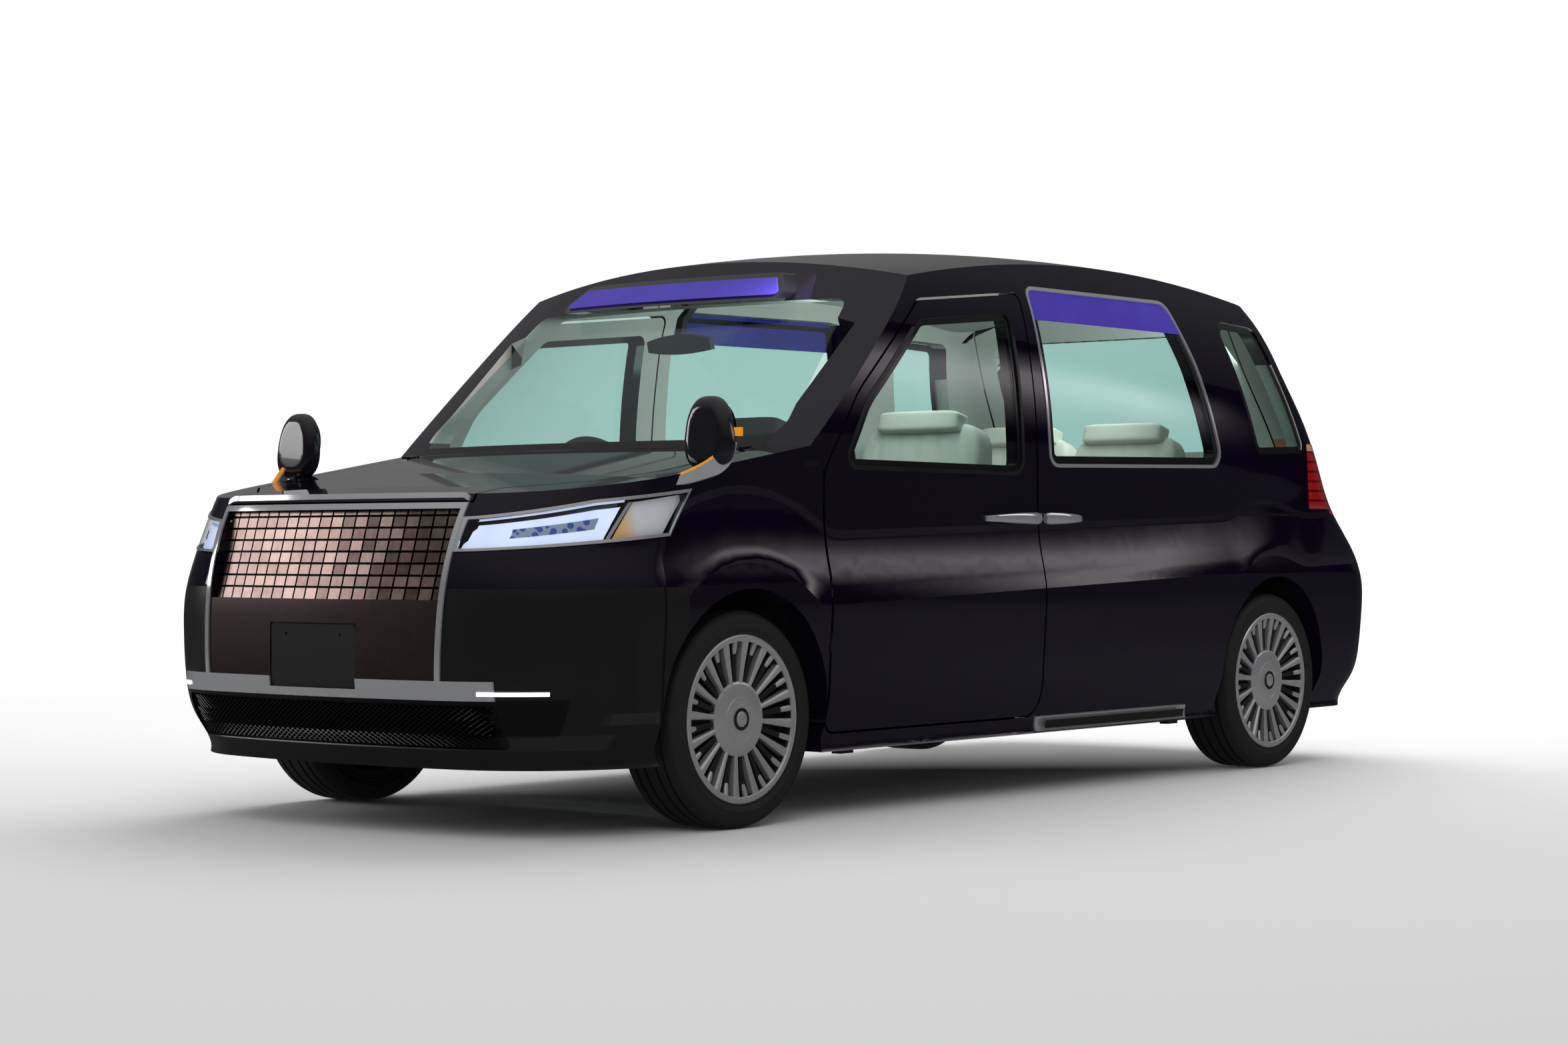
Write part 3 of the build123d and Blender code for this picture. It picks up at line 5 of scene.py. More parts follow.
import bmesh
import bpy
import numpy as np
from mathutils import Matrix, Vector
from mathutils.kdtree import KDTree


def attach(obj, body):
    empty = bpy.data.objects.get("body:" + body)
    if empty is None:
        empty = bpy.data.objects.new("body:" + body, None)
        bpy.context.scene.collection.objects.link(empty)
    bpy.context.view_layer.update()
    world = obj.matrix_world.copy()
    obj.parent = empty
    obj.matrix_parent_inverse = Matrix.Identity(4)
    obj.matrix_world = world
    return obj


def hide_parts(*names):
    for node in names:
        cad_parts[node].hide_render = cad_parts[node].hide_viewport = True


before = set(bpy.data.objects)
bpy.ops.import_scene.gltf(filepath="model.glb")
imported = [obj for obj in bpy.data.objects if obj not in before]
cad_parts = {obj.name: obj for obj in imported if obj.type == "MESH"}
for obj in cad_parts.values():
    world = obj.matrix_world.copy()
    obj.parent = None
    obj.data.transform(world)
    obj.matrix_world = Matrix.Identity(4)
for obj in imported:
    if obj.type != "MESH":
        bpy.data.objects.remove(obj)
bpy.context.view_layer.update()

# The painted body: pressed steel panels, welded, hinged or bolted along their shut lines, in deep plum.
# The outside follows rounded plan outlines stacked by height, with a crowned roof, a bonnet and a screen.
# Each panel is its solid's mesh, shaded as that smooth outside.
HALF_LENGTH, HALF_WIDTH = 2.175, 0.8475
LEVELS = np.array([
    # height, side inset, nose setback, nose bow, nose radius, tail setback, tail bow, tail radius, tail taper
    (0.185, 0.048, 0.066, 0.110, 0.420, 0.110, 0.040, 0.200, 0.025),
    (0.290, 0.027, 0.028, 0.100, 0.430, 0.048, 0.040, 0.210, 0.025),
    (0.400, 0.011, 0.003, 0.095, 0.440, 0.012, 0.040, 0.220, 0.025),
    (0.520, 0.003, 0.001, 0.096, 0.440, 0.003, 0.043, 0.220, 0.025),
    (0.632, 0.000, 0.008, 0.102, 0.440, 0.012, 0.045, 0.220, 0.024),
    (0.730, 0.018, 0.025, 0.109, 0.440, 0.046, 0.045, 0.210, 0.025),
    (0.860, 0.031, 0.072, 0.120, 0.440, 0.161, 0.050, 0.180, 0.035),
    (1.000, 0.031, 0.141, 0.139, 0.440, 0.248, 0.054, 0.160, 0.045),
    (1.160, 0.037, 0.193, 0.152, 0.440, 0.326, 0.055, 0.160, 0.052),
    (1.330, 0.058, 0.200, 0.150, 0.440, 0.431, 0.055, 0.150, 0.063),
    (1.520, 0.104, 0.200, 0.150, 0.420, 0.521, 0.060, 0.150, 0.083),
    (1.700, 0.178, 0.200, 0.150, 0.400, 0.610, 0.060, 0.140, 0.095),
])
ROWS = np.linspace(0.185, 1.7, 240)


def spline(z, heights, values):
    """Natural cubic spline through the values, read at the heights z."""
    step = np.diff(heights)
    count = len(heights)
    system, right = np.eye(count), np.zeros(count)
    for i in range(1, count - 1):
        system[i, i - 1:i + 2] = step[i - 1], 2 * (step[i - 1] + step[i]), step[i]
        right[i] = 6 * ((values[i + 1] - values[i]) / step[i] - (values[i] - values[i - 1]) / step[i - 1])
    bend = np.linalg.solve(system, right)
    i = np.clip(np.searchsorted(heights, z) - 1, 0, count - 2)
    a, b, h = heights[i + 1] - z, z - heights[i], step[i]
    return ((bend[i] * a**3 + bend[i + 1] * b**3) / (6 * h)
            + (values[i] / h - bend[i] * h / 6) * a + (values[i + 1] / h - bend[i + 1] * h / 6) * b)


def arc(centre, start, end, count):
    """Points of a short arc about a centre from one point to another."""
    a0 = math.atan2(start[1] - centre[1], start[0] - centre[0])
    a1 = math.atan2(end[1] - centre[1], end[0] - centre[0])
    a1 += 2 * math.pi * round((a0 - a1) / (2 * math.pi))
    turn = np.linspace(a0, a1, count, endpoint=False)
    radius = math.hypot(start[0] - centre[0], start[1] - centre[1])
    return np.stack([centre[0] + radius * np.cos(turn), centre[1] + radius * np.sin(turn)], 1)


def meet(c1, r1, c2, r2, front):
    """Where two circles cross on the left side, foremost or rearmost."""
    c1, c2 = np.array(c1), np.array(c2)
    gap = np.linalg.norm(c2 - c1)
    along = (gap**2 + r1**2 - r2**2) / (2 * gap)
    aside = math.sqrt(max(r1**2 - along**2, 0))
    way = (c2 - c1) / gap
    spots = [c1 + along * way + s * aside * np.array([-way[1], way[0]]) for s in (1, -1)]
    return max((p for p in spots if p[1] > 0), key=lambda p: p[0] if front else -p[0])


def outline(z):
    """Left half of the body's plan outline at a height, from the nose to the tail."""
    side, nose, bow, radius, tail, tail_bow, tail_radius, taper = (
        float(spline(np.array([z]), LEVELS[:, 0], LEVELS[:, k])[0]) for k in range(1, 9))
    half, tip, end = HALF_WIDTH - side, HALF_LENGTH - nose, -HALF_LENGTH + tail
    front, rear = half - 0.015, half - taper
    r1 = (front**2 + bow**2) / (2 * bow)
    r3 = (rear**2 + tail_bow**2) / (2 * tail_bow)
    c1, c3 = (tip - r1, 0.0), (end + r3, 0.0)
    p, q, s = np.array([tip - bow, front]), np.array([0.0, half]), np.array([end + tail_bow, rear])
    rows = 2 * np.array([q - p, s - q])
    c2 = tuple(np.linalg.solve(rows, np.array([q @ q - p @ p, s @ s - q @ q])))
    r2 = math.hypot(p[0] - c2[0], p[1] - c2[1])
    f = meet(c1, r1 - radius, c2, r2 - radius, True)
    g = meet(c3, r3 - tail_radius, c2, r2 - tail_radius, False)
    t1, t2, t3, t4 = (np.array(c) + (m - np.array(c)) / np.linalg.norm(m - np.array(c)) * r
                      for c, r, m in ((c1, r1, f), (c2, r2, f), (c2, r2, g), (c3, r3, g)))
    return np.concatenate([
        arc(c1, (tip, 0), t1, 30), arc(f, t1, t2, 50), arc(c2, t2, t3, 120), arc(g, t3, t4, 40),
        arc(c3, t4, (end, 0), 20), np.array([[end, 0.0]])])


skin_points = np.array([np.column_stack([o, np.full(len(o), z)]) for z in ROWS for o in [outline(z)]])
du, dv = np.gradient(skin_points, axis=1), np.gradient(skin_points, axis=0)
skin_normals = np.cross(du, dv)
skin_normals /= np.linalg.norm(skin_normals, axis=2, keepdims=True)
if skin_normals[120, 100, 1] < 0:
    skin_normals = -skin_normals
columns = skin_points.shape[1]
near = KDTree(skin_points.shape[0] * columns)
for index, spot in enumerate(skin_points.reshape(-1, 3)):
    near.insert(spot, index)
near.balance()
normal_du, normal_dv = np.gradient(skin_normals, axis=1), np.gradient(skin_normals, axis=0)


def side_normal(p):
    """Outward direction of the body's side at a point on or near it."""
    mirrored = Vector((p[0], abs(p[1]), p[2]))
    _, index, _ = near.find(mirrored)
    row, column = divmod(index, columns)
    off = np.array(mirrored) - skin_points[row, column]
    a, b = du[row, column], dv[row, column]
    n = (skin_normals[row, column] + normal_du[row, column] * (off @ a) / (a @ a)
         + normal_dv[row, column] * (off @ b) / (b @ b))
    n = n / np.linalg.norm(n)
    return np.array([n[0], n[1] if p[1] >= 0 else -n[1], n[2]])


def top_normals(p):
    """Outward directions of the roof, the bonnet and the screen at a point."""
    roof = np.array([(p[0] + 0.5) / 7.0, p[1] / 3.27, 1.0])
    bonnet = np.array([math.tan(math.radians(9.2)), p[1] / 12.0, 1.0])
    screen = np.array([math.sin(math.radians(41.9)), p[1] / 3.0, math.cos(math.radians(41.9))])
    return [v / np.linalg.norm(v) for v in (roof, bonnet, screen)]


def dressed(node, name, *looks):
    """Copy of a solid's mesh in new surfaces that shades as the smooth form it was cut from."""
    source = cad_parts[node]
    mesh = source.data.copy()
    mesh.materials.clear()
    for look in looks:
        mesh.materials.append(look)
    piece = bpy.data.objects.new(name, mesh)
    bpy.context.scene.collection.objects.link(piece)
    places = np.array([v.co for v in mesh.vertices])
    sides = [side_normal(p) for p in places]
    tops = [top_normals(p) for p in places]
    around = [[] for _ in places]
    for polygon in mesh.polygons:
        for vertex in polygon.vertices:
            around[vertex].append((np.array(polygon.normal), polygon.area))
    normals = []
    for polygon in mesh.polygons:
        polygon.use_smooth = True
        flat = np.array(polygon.normal)
        for vertex in polygon.vertices:
            best = max([sides[vertex]] + tops[vertex], key=lambda n: n @ flat)
            if best @ flat < 0.93:
                best = sum(n * area for n, area in around[vertex] if n @ flat > 0.8)
                best = best / np.linalg.norm(best)
            normals.append(best)
    mesh.normals_split_custom_set(normals)
    return piece


class Wire:
    """An output socket of a shader, usable in sums, products and comparisons."""

    def __init__(self, tree, socket):
        self.tree, self.socket = tree, socket

    def make(self, kind, settings=None, sockets=None, out=0):
        """Add a node, fill its settings and sockets, and give back one of its outputs."""
        node = self.tree.nodes.new(kind)
        for key, value in (settings or {}).items():
            setattr(node, key, value)
        for key, value in (sockets or {}).items():
            if isinstance(value, Wire):
                self.tree.links.new(value.socket, node.inputs[key])
            else:
                node.inputs[key].default_value = value
        return Wire(self.tree, node.outputs[out])

    def __add__(self, other): return reckon("ADD", self, other)
    def __radd__(self, other): return reckon("ADD", other, self)
    def __sub__(self, other): return reckon("SUBTRACT", self, other)
    def __rsub__(self, other): return reckon("SUBTRACT", other, self)
    def __mul__(self, other): return reckon("MULTIPLY", self, other)
    def __rmul__(self, other): return reckon("MULTIPLY", other, self)
    def __truediv__(self, other): return reckon("DIVIDE", self, other)
    def __rtruediv__(self, other): return reckon("DIVIDE", other, self)
    def __gt__(self, other): return reckon("GREATER_THAN", self, other)
    def __lt__(self, other): return reckon("LESS_THAN", self, other)

    def part(self, letter):
        """One of the three numbers of a vector."""
        return self.make("ShaderNodeSeparateXYZ", None, {0: self}, "XYZ".index(letter))

    def ramp(self, low, high):
        """Share from 0 at one value to 1 at the other."""
        return reckon("MINIMUM", reckon("MAXIMUM", (self - low) / (high - low), 0.0), 1.0)

    def noise(self, scale, detail=2.0):
        """Cloudy noise from 0 to 1 over a vector."""
        return self.make("ShaderNodeTexNoise", None, {"Vector": self, "Scale": scale, "Detail": detail})

    def tint(self, dark, light):
        """Colour between two, by this factor."""
        dark, light = (c if isinstance(c, Wire) else (*c, 1) for c in (dark, light))
        return self.make("ShaderNodeMix", {"data_type": "RGBA"}, {0: self, 6: dark, 7: light}, 2)

    def bump(self, strength=1.0, distance=1.0):
        """Surface relief from this height."""
        return self.make("ShaderNodeBump", None, {"Height": self, "Strength": strength, "Distance": distance})


def reckon(operation, *values):
    """Result of a mathematical operation on wires, numbers or vectors."""
    wires = [v for v in values if isinstance(v, Wire)]
    if any(w.socket.type == "VECTOR" for w in wires):
        values = [v if isinstance(v, (Wire, tuple)) else (v, v, v) for v in values]
        return wires[0].make("ShaderNodeVectorMath", {"operation": operation}, dict(enumerate(values)))
    return wires[0].make("ShaderNodeMath", {"operation": operation}, dict(enumerate(values)))


def material(name, **sockets):
    """A new surface, with constant sockets set. Gives back the material, object coordinates and the setter."""
    made = bpy.data.materials.new(name)
    made.use_nodes = True
    tree = made.node_tree
    surface = tree.nodes["Principled BSDF"]
    spot = Wire(tree, tree.nodes.new("ShaderNodeTexCoord").outputs["Object"])

    def put(**values):
        for key, value in values.items():
            target = surface.inputs[key.replace("_", " ")]
            if isinstance(value, Wire):
                tree.links.new(value.socket, target)
            else:
                target.default_value = value

    put(**sockets)
    return made, spot, put


def fit(piece, body, node=None):
    """Let a piece move with a body and, where given, let it stand for a solid."""
    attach(piece, body)
    if node:
        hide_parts(node)


# The pressed lines of the sides are relief: a crease that bends up over the wheel arches, a slope above it
# and a step at the shoulder line. They fade out ahead of the front wheels.
CREASE_Z, CREASE_FALL, SHOULDER_RISE, SHOULDER_FALL = 0.625, 0.0305, 0.175, 0.0065
FRONT_AXLE_X, REAR_AXLE_X, ARCH_Z, ARCH_RADIUS = 1.365, -1.385, 0.309, 0.405
paint, spot, put = material("deep_plum_paint", IOR=1.55, Specular_IOR_Level=0.55)
flake = spot.noise(2600.0, 1.0)
x, z = spot.part("X"), spot.part("Z")
rise = z - CREASE_Z + x * CREASE_FALL
for axle in (FRONT_AXLE_X, REAR_AXLE_X):
    off, up = x - axle, z - ARCH_Z
    arch = reckon("SQRT", off * off + up * up) - ARCH_RADIUS
    rise = reckon("SMOOTH_MIN", rise, arch, 0.05)
crease, slope = rise.ramp(0.0, 0.05), rise.ramp(0.0, SHOULDER_RISE)
shoulder = (rise - (x * SHOULDER_FALL + SHOULDER_RISE)).ramp(0.0, 0.022)
pressing = ((crease * crease - crease * 2.0) * 0.0035 - slope * 0.0125 + shoulder * 0.005) * x.ramp(1.95, 1.70)
put(Base_Color=flake.tint((0.002, 0.0012, 0.005), (0.006, 0.0032, 0.012)), Roughness=flake * 0.02 + 0.03,
    Normal=pressing.bump())

# Inside, the panels carry pale moulded trim, clipped on above dark sills.
trim, spot, put = material("pale_trim")
cloud = spot.noise(350.0, 3.0)
sill = spot.part("Z") < 0.27
put(Base_Color=sill.tint(cloud.tint((0.56, 0.55, 0.52), (0.64, 0.63, 0.60)), (0.02, 0.02, 0.022)),
    Roughness=cloud * 0.1 + 0.6)

BODY_PANELS = {
    "side_frames": "body", "fenders": "body", "roof_panel": "body", "rear_doors": "body",
    "rear_bumper": "body", "bonnet": "bonnet", "tailgate": "tailgate",
    "front_door_left": "front_door_left", "front_door_right": "front_door_right",
}
for node, body in BODY_PANELS.items():
    panel = dressed(node, "paint_" + node, paint, trim)
    for polygon in panel.data.polygons:
        middle, facing = polygon.center, polygon.normal
        behind = min(middle.x + 1.45, 0) * 4 if node == "tailgate" or middle.z > 0.95 else 0
        outward = Vector((behind, middle.y, max(middle.z - 1.0, 0))).normalized()
        inside = node != "rear_bumper" and -2.2 < middle.x < 1.1 and facing @ outward < -0.55
        polygon.material_index = 1 if inside else 0
    fit(panel, body, node)

# Black plastic: the bumper with its corner boxes and lip, the cowl under the screen and the wheelhouse liners.
# Moulded with a fine satin grain and clipped to the body. The boxes' facets and the lip's ledge are relief.
# Across the intake opening the plastic is painted darker, as painted shade in the recess.
black_plastic, spot, put = material("satin_black_plastic", Specular_IOR_Level=0.45)
grain = spot.noise(900.0, 3.0)
x, z = spot.part("X"), spot.part("Z")
box = x.ramp(1.95, 1.83) * z.ramp(0.30, 0.33) * x.ramp(1.7, 1.71)
ledge = z.ramp(0.236, 0.276) * x.ramp(1.80, 1.86)
# Painted shade: near black across the intake opening at the front, standing in for the shade inside it.
intake_painted_shade = z.ramp(0.268, 0.272) * z.ramp(0.372, 0.366) * x.ramp(1.962, 1.968)
put(Base_Color=intake_painted_shade.tint(grain.tint((0.006, 0.006, 0.007), (0.011, 0.011, 0.012)), (0.002, 0.002, 0.002)),
    Roughness=grain * 0.10 + 0.26, Normal=(box * -0.030 + ledge * -0.040 + grain * 0.00001).bump())
for node in ("front_bumper", "cowl"):
    fit(dressed(node, "plastic_" + node, black_plastic), "body", node)


def coat(node, look):
    """Give a solid of the frame its surface."""
    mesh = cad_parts[node].data
    mesh.materials.clear()
    mesh.materials.append(look)


for node in ("front_liners", "rear_liners", "lower_grille"):
    coat(node, black_plastic)


# Lower air intake: a moulded mesh of thin diamonds in front of the dark backing plate.
# Its bars are about 3 mm wide, follow the curve of the bumper and are moulded in one with it.
def nose_x(y, z):
    """Place along the car of the nose at a distance from the middle and a height."""
    row = int(round((z - ROWS[0]) / (ROWS[1] - ROWS[0])))
    front = skin_points[min(max(row, 0), len(ROWS) - 1)][:80]
    return float(np.interp(abs(y), front[:, 1], front[:, 0]))


def build(name, points, faces, look, smooth=True, sharp=40.0):
    """New mesh object from points and faces, with its normals facing out."""
    mesh = bpy.data.meshes.new(name)
    mesh.from_pydata([tuple(map(float, p)) for p in points], [], faces)
    form = bmesh.new()
    form.from_mesh(mesh)
    bmesh.ops.remove_doubles(form, verts=form.verts, dist=1e-6)
    bmesh.ops.recalc_face_normals(form, faces=form.faces)
    form.to_mesh(mesh)
    form.free()
    for polygon in mesh.polygons:
        polygon.use_smooth = smooth
    if smooth:
        mesh.set_sharp_from_angle(angle=math.radians(sharp))
    mesh.materials.append(look)
    piece = bpy.data.objects.new(name, mesh)
    bpy.context.scene.collection.objects.link(piece)
    return piece


def grid_faces(rows, columns, start=0, around=False, over=False):
    """Faces over rows of points, with each row closed (around) or the last row joined to the first (over)."""
    return [(start + j * columns + i, start + j * columns + (i + 1) % columns,
             start + (j + 1) % rows * columns + (i + 1) % columns, start + (j + 1) % rows * columns + i)
            for j in range(rows if over else rows - 1) for i in range(columns if around else columns - 1)]


def sleeve(points, faces, rings):
    """Add a skin through a row of rings of points, with a flat face at each end."""
    start, count = len(points), len(rings[0])
    points.extend(p for ring in rings for p in ring)
    faces.extend(grid_faces(len(rings), count, start, around=True))
    faces.extend([tuple(range(start, start + count)), tuple(range(len(points) - count, len(points)))])


def rod(points, faces, path, across):
    """Add a bar of rectangular section along a path, by the two half-width vectors at each step."""
    sleeve(points, faces, [[p + a + b, p - a + b, p - a - b, p + a - b] for p, (a, b) in zip(path, across)])


points, faces = [], []
for way in (-1, 1):
    for line in range(-34, 35):
        path = []
        for z in np.linspace(0.246, 0.350, 7):
            y = line * 0.0205 + way * (z - 0.298) * 1.7
            if abs(y) < 0.585:
                path.append(np.array([nose_x(y, z) - 0.0115, y, z]))
        if len(path) > 1:
            rod(points, faces, path, [(np.array([0, 0.0016, 0]), np.array([0.0035, 0, 0]))] * len(path))
fit(build("intake_mesh", points, faces, black_plastic, smooth=False), "body")

# Grille: rows of small bronze tiles on a dark plate, pressed and satin plated, each leaning its own way.
# The tiles are the solid's own. What lies deeper than their faces is the dark plate.
bronze, spot, put = material("satin_bronze", Metallic=1.0)
x, y, z = (spot.part(letter) for letter in "XYZ")
column, tier = reckon("FLOOR", y * 21.93 + 10.0), reckon("FLOOR", z * 32.0 + 0.096)
tone = spot.make("ShaderNodeTexWhiteNoise", {"noise_dimensions": "2D"},
                 {"Vector": spot.make("ShaderNodeCombineXYZ", None, {0: column, 1: tier})})
cloud = spot.noise(40.0, 4.0)
tile = x - 2.159 + 0.288 * (z - 0.622) + y * y * 0.173 > -0.0045
lean = (tone - 0.5) * y * 0.06 + reckon("FRACT", tone * 7.0) * z * 0.05
face = (tone * 0.3 + cloud * 0.7).tint((0.12, 0.078, 0.068), (0.36, 0.26, 0.232))
put(Base_Color=tile.tint((0.004, 0.003, 0.003), face), Roughness=cloud * 0.06 + 0.24, Normal=lean.bump())
coat("grille", bronze)

# Valance below the grille: one moulded panel in brown satin metallic paint, clipped in between the bumper's
# corners, which carries the number plate.
brown, spot, put = material("satin_brown", Metallic=0.85)
cloud = spot.noise(60.0, 3.0)
put(Base_Color=cloud.tint((0.060, 0.040, 0.038), (0.078, 0.053, 0.050)), Roughness=cloud * 0.06 + 0.30)
fit(dressed("valance", "valance_panel", brown), "body", "valance")

# Number plate: a blank pressed aluminium sheet, painted dark and held to the valance by two bolts.
plate_look, spot, put = material("plate_sheet")
cloud = spot.noise(120.0, 3.0)
put(Base_Color=cloud.tint((0.008, 0.008, 0.009), (0.014, 0.014, 0.015)), Roughness=cloud * 0.1 + 0.28)
coat("number_plate", plate_look)

# Bright trim: plated plastic strips clipped on proud of the panels, round the grille and along the steps,
# with a bar across the bonnet's front edge that lifts with it.
chrome, spot, put = material("bright_plating", Metallic=0.75)
cloud = spot.noise(30.0, 2.0)
put(Base_Color=cloud.tint((0.76, 0.77, 0.80), (0.80, 0.81, 0.84)), Roughness=cloud * 0.02 + 0.07)
for node in ("front_trim", "step_trims"):
    fit(dressed(node, "bright_" + node, chrome), "body", node)
points, faces, path = [], [], []
for y in np.linspace(-0.472, 0.472, 49):
    z = 0.892 - max(abs(y) - 0.455, 0) * 0.5
    path.append(np.array([nose_x(y, z) + 0.0015, y, z]))
rod(points, faces, path, [(np.array([-0.003, 0, 0.0072]), np.array([0.0030, 0, 0.0012]))] * len(path))
fit(build("bonnet_bar", points, faces, chrome), "bonnet")

# Door handles: plated cast pull bars on two feet each, bolted through the door's skin.
# They are thick at the shut line between the doors and drawn out thin away from it.
SIDES = ((1, "left"), (-1, "right"))
HANDLE_Z = 0.834


def on_skin(x, z, out=0.0):
    """Point of the left side's surface at a place along the car and a height, moved outward."""
    place = (z - ROWS[0]) / (ROWS[1] - ROWS[0])
    row = int(min(max(place, 0), len(ROWS) - 2))
    share = place - row
    found = []
    for grid in (skin_points, skin_normals):
        ends = [[np.interp(-x, -skin_points[r, :, 0], grid[r, :, k]) for k in range(3)]
                for r in (row, row + 1)]
        found.append((1 - share) * np.array(ends[0]) + share * np.array(ends[1]))
    point, normal = found
    return point + normal / np.linalg.norm(normal) * out


def power(value, exponent):
    """Power of a number's size, with its sign kept."""
    return math.copysign(abs(value) ** exponent, value)


for side, name in SIDES:
    flip = np.array([1, side, 1])
    for node, body, start, end in (("front_handle_" + name, "front_door_" + name, 0.014, 0.272),
                                   ("rear_handles", "body", -0.014, -0.232)):
        points, faces, rings = [], [], []
        for t in np.linspace(0, 1, 26):
            thick = (1.0 - 0.55 * t ** 1.8) * (0.75 + 4.0 * t if t < 0.06 else 1.0)
            bow = 0.020 + 0.010 * math.sin(math.pi * min(t * 1.15, 0.989)) - max(t - 0.86, 0) * 0.11
            base = on_skin(start + (end - start) * t, HANDLE_Z)
            out = on_skin(start + (end - start) * t, HANDLE_Z, 1.0) - base
            ring = []
            for turn in np.linspace(0.3, 0.3 + 2 * math.pi, 10, endpoint=False):
                deep, tall = (power(c, 0.7) * thick for c in (math.cos(turn), math.sin(turn)))
                ring.append((base + out * (bow + 0.0095 * deep) + np.array([0, 0, 0.0185 * tall])) * flip)
            rings.append(ring)
        sleeve(points, faces, rings)
        for foot in (0.10, 0.80):
            x = start + (end - start) * foot
            rod(points, faces, [on_skin(x, HANDLE_Z, -0.001) * flip, on_skin(x, HANDLE_Z, 0.023) * flip],
                [(np.array([0.010, 0, 0]), np.array([0, 0, 0.006]))] * 2)
        handle = build(f"pull_{body}_{name}", points, faces, chrome, sharp=35)
        fit(handle, body, node if node != "rear_handles" or side > 0 else None)


# Window glass: thin tinted sheets, bent to the body and bonded into the openings.
# Each has a dark printed border, the rear doors' a bright surround and the front doors' a rubber seal.
def see_through(name, colour, shine_share):
    """A clear sheet: it lets tinted light straight through and shines more at a slant."""
    made = bpy.data.materials.new(name)
    made.use_nodes = True
    tree = made.node_tree
    tree.nodes.remove(tree.nodes["Principled BSDF"])
    spot = Wire(tree, tree.nodes.new("ShaderNodeTexCoord").outputs["Object"])
    clear = spot.make("ShaderNodeBsdfTransparent", None, {"Color": (*colour, 1)})
    shine = spot.make("ShaderNodeBsdfGlossy", None, {"Roughness": 0.0, "Color": (1, 1, 1, 1)})
    slant = spot.make("ShaderNodeLayerWeight", None, {"Blend": 0.5}, 1)
    share = slant * slant * slant * slant * 0.75 + spot.noise(4.0, 1.0) * 0.01 + shine_share
    sheet = spot.make("ShaderNodeMixShader", None, {0: share, 1: clear, 2: shine})
    tree.links.new(sheet.socket, tree.nodes["Material Output"].inputs["Surface"])
    return made


glass = see_through("tinted_glass", (0.77, 0.885, 0.865), 0.02)
for node, body in (("windscreen", "body"), ("rear_door_glass", "body"), ("quarter_glass", "body"),
                   ("tailgate_glass", "tailgate"), ("front_glass_left", "front_door_left"),
                   ("front_glass_right", "front_door_right")):
    fit(dressed(node, "pane_" + node, glass), body, node)


def rounded(corners, radii, grow, count):
    """Closed outline with rounded corners, moved out or in, as evenly spaced points."""
    corners = np.array(corners, float)
    after = np.roll(corners, -1, 0)
    turn = (corners[:, 0] * after[:, 1] - after[:, 0] * corners[:, 1]).sum()
    line = []
    for before, here, then, radius in zip(np.roll(corners, 1, 0), corners, after, radii):
        a, b = (before - here) / np.linalg.norm(before - here), (then - here) / np.linalg.norm(then - here)
        half = math.acos(max(-1, min(1, a @ b))) / 2
        centre = here + (a + b) / np.linalg.norm(a + b) * radius / math.sin(half)
        s, e = here + a * radius / math.tan(half) - centre, here + b * radius / math.tan(half) - centre
        a0 = math.atan2(s[1], s[0])
        sweep = (math.atan2(e[1], e[0]) - a0 + math.pi) % (2 * math.pi) - math.pi
        for t in np.linspace(0, 1, 9):
            line.append(centre + radius * np.array([math.cos(a0 + sweep * t), math.sin(a0 + sweep * t)]))
    line = np.array(line)
    along = np.roll(line, -1, 0) - np.roll(line, 1, 0)
    along /= np.linalg.norm(along, axis=1)[:, None]
    line = line + np.stack([along[:, 1], -along[:, 0]], 1) * (grow if turn > 0 else -grow)
    closed = np.vstack([line, line[:1]])
    length = np.concatenate([[0], np.cumsum(np.linalg.norm(np.diff(closed, axis=0), axis=1))])
    marks = np.linspace(0, length[-1], count, endpoint=False)
    return np.stack([np.interp(marks, length, closed[:, k]) for k in (0, 1)], 1)


def skin_ring(name, corners, radii, outer, inner, heights, look, side):
    """Flat or raised ring that follows an outline on the body's side, between two growths of that outline."""
    points, count = [], 220
    for grow, out in ((outer, heights[0]), (outer, heights[1]), (inner, heights[1]), (inner, heights[0])):
        for x, z in rounded(corners, radii, grow, count):
            points.append(on_skin(x, z, out) * np.array([1, side, 1]))
    return build(name, points, grid_faces(4, count, around=True, over=True), look)


DOOR_X, B_X, C_X, BELT = 1.020, 0.0, -1.135, 0.965
FRONT_WINDOW = [(DOOR_X - 0.085, BELT + 0.015), (DOOR_X - 0.198, BELT + 0.200), (DOOR_X - 0.483, BELT + 0.448),
                (B_X + 0.075, BELT + 0.490), (B_X + 0.075, BELT + 0.008)]
REAR_WINDOW = [(B_X - 0.075, BELT + 0.033), (B_X - 0.055, BELT + 0.575), (C_X + 0.240, BELT + 0.578),
               (C_X + 0.137, BELT + 0.370), (C_X + 0.034, BELT + 0.047)]
QUARTER_WINDOW = [(C_X - 0.206, BELT + 0.090), (C_X - 0.058, BELT + 0.540), (C_X - 0.348, BELT + 0.528),
                  (C_X - 0.543, BELT + 0.102)]
FRONT_RADII, REAR_RADII = (0.03, 0.25, 0.06, 0.03, 0.04), (0.04, 0.03, 0.06, 0.30, 0.05)
QUARTER_RADII = (0.04, 0.05, 0.06, 0.03)
